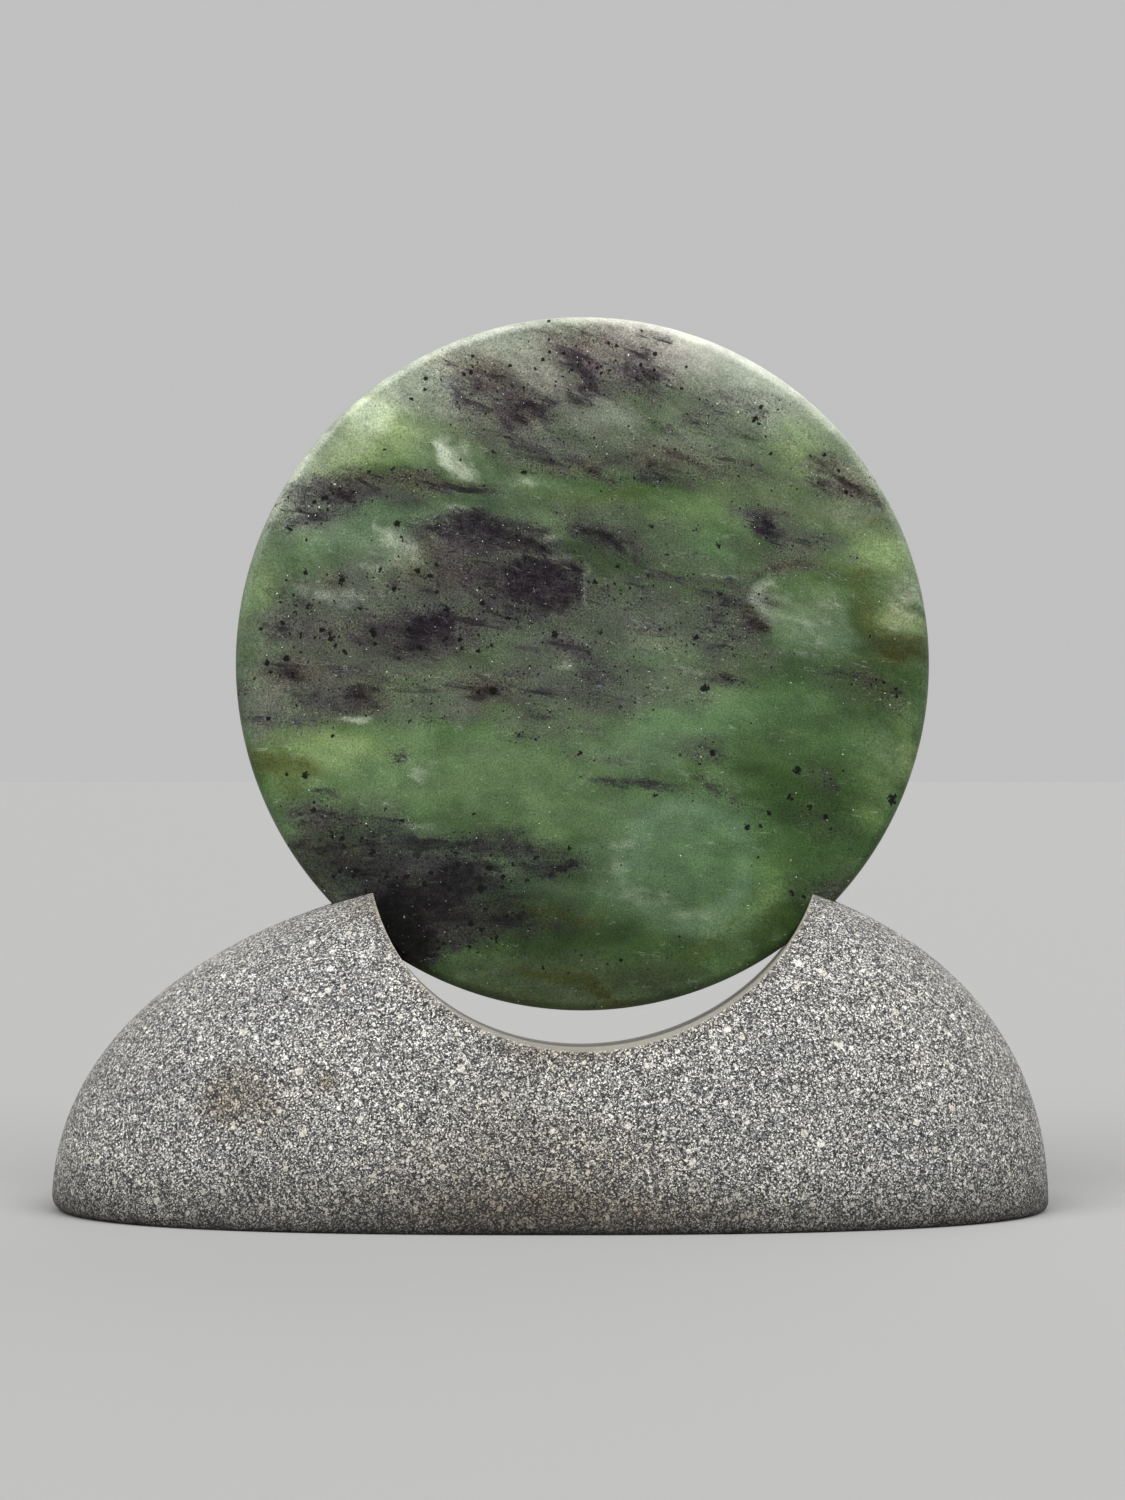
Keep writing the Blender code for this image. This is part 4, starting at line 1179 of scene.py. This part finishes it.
def build_floor():
    paint = Paint("studio_floor")
    grey = (0.338, 0.338, 0.334)
    material = paint.surface({"Base Color": grey, "Roughness": 0.95, "Specular IOR Level": 0.1})
    shape = bmesh.new()
    bmesh.ops.create_circle(shape, cap_ends=True, segments=FLOOR_FACETS, radius=FLOOR_RADIUS)
    floor = add_shape("studio_floor", shape)
    floor.data.materials.append(material)


def add_sun(name, elevation, bearing, breadth, strength):
    """A broad soft light."""
    light = bpy.data.lights.new(name, "SUN")
    light.energy = strength
    light.angle = math.radians(breadth)
    up = math.radians(elevation)
    turn = math.radians(bearing)
    source = Vector((math.sin(turn) * math.cos(up), -math.cos(turn) * math.cos(up), math.sin(up)))
    thing = add_object(name, light)
    thing.rotation_mode = "QUATERNION"
    thing.rotation_quaternion = source.to_track_quat("Z", "Y")


def light_world():
    """Even light from all round, and a plain pale background."""
    world = bpy.data.worlds.new("studio")
    bpy.context.scene.world = world
    world.use_nodes = True
    tree = world.node_tree
    tree.nodes.clear()
    chooser = tree.nodes.new("ShaderNodeMixShader")
    for number, tone in enumerate((AMBIENT_LIGHT, BACKDROP_TONE), 1):
        fill = tree.nodes.new("ShaderNodeBackground")
        fill.inputs["Color"].default_value = (tone, tone, tone, 1.0)
        tree.links.new(fill.outputs[0], chooser.inputs[number])
    path = tree.nodes.new("ShaderNodeLightPath")
    output = tree.nodes.new("ShaderNodeOutputWorld")
    tree.links.new(path.outputs["Is Camera Ray"], chooser.inputs[0])
    tree.links.new(chooser.outputs[0], output.inputs["Surface"])


def add_camera():
    data = bpy.data.cameras.new("camera")
    data.lens = CAMERA_LENS
    data.sensor_width = CAMERA_SENSOR
    data.clip_start = 0.01
    data.clip_end = 100.0
    camera = add_object("camera", data)
    camera.location = CAMERA_PLACE
    camera.rotation_euler = (QUARTER_TURN, 0.0, 0.0)
    bpy.context.scene.camera = camera


def main():
    bpy.context.scene.view_settings.view_transform = "Standard"
    add_camera()
    build_disc(make_nephrite())
    build_stand(make_andesite())
    build_floor()
    for sun in SUNS:
        add_sun(*sun)
    light_world()


main()
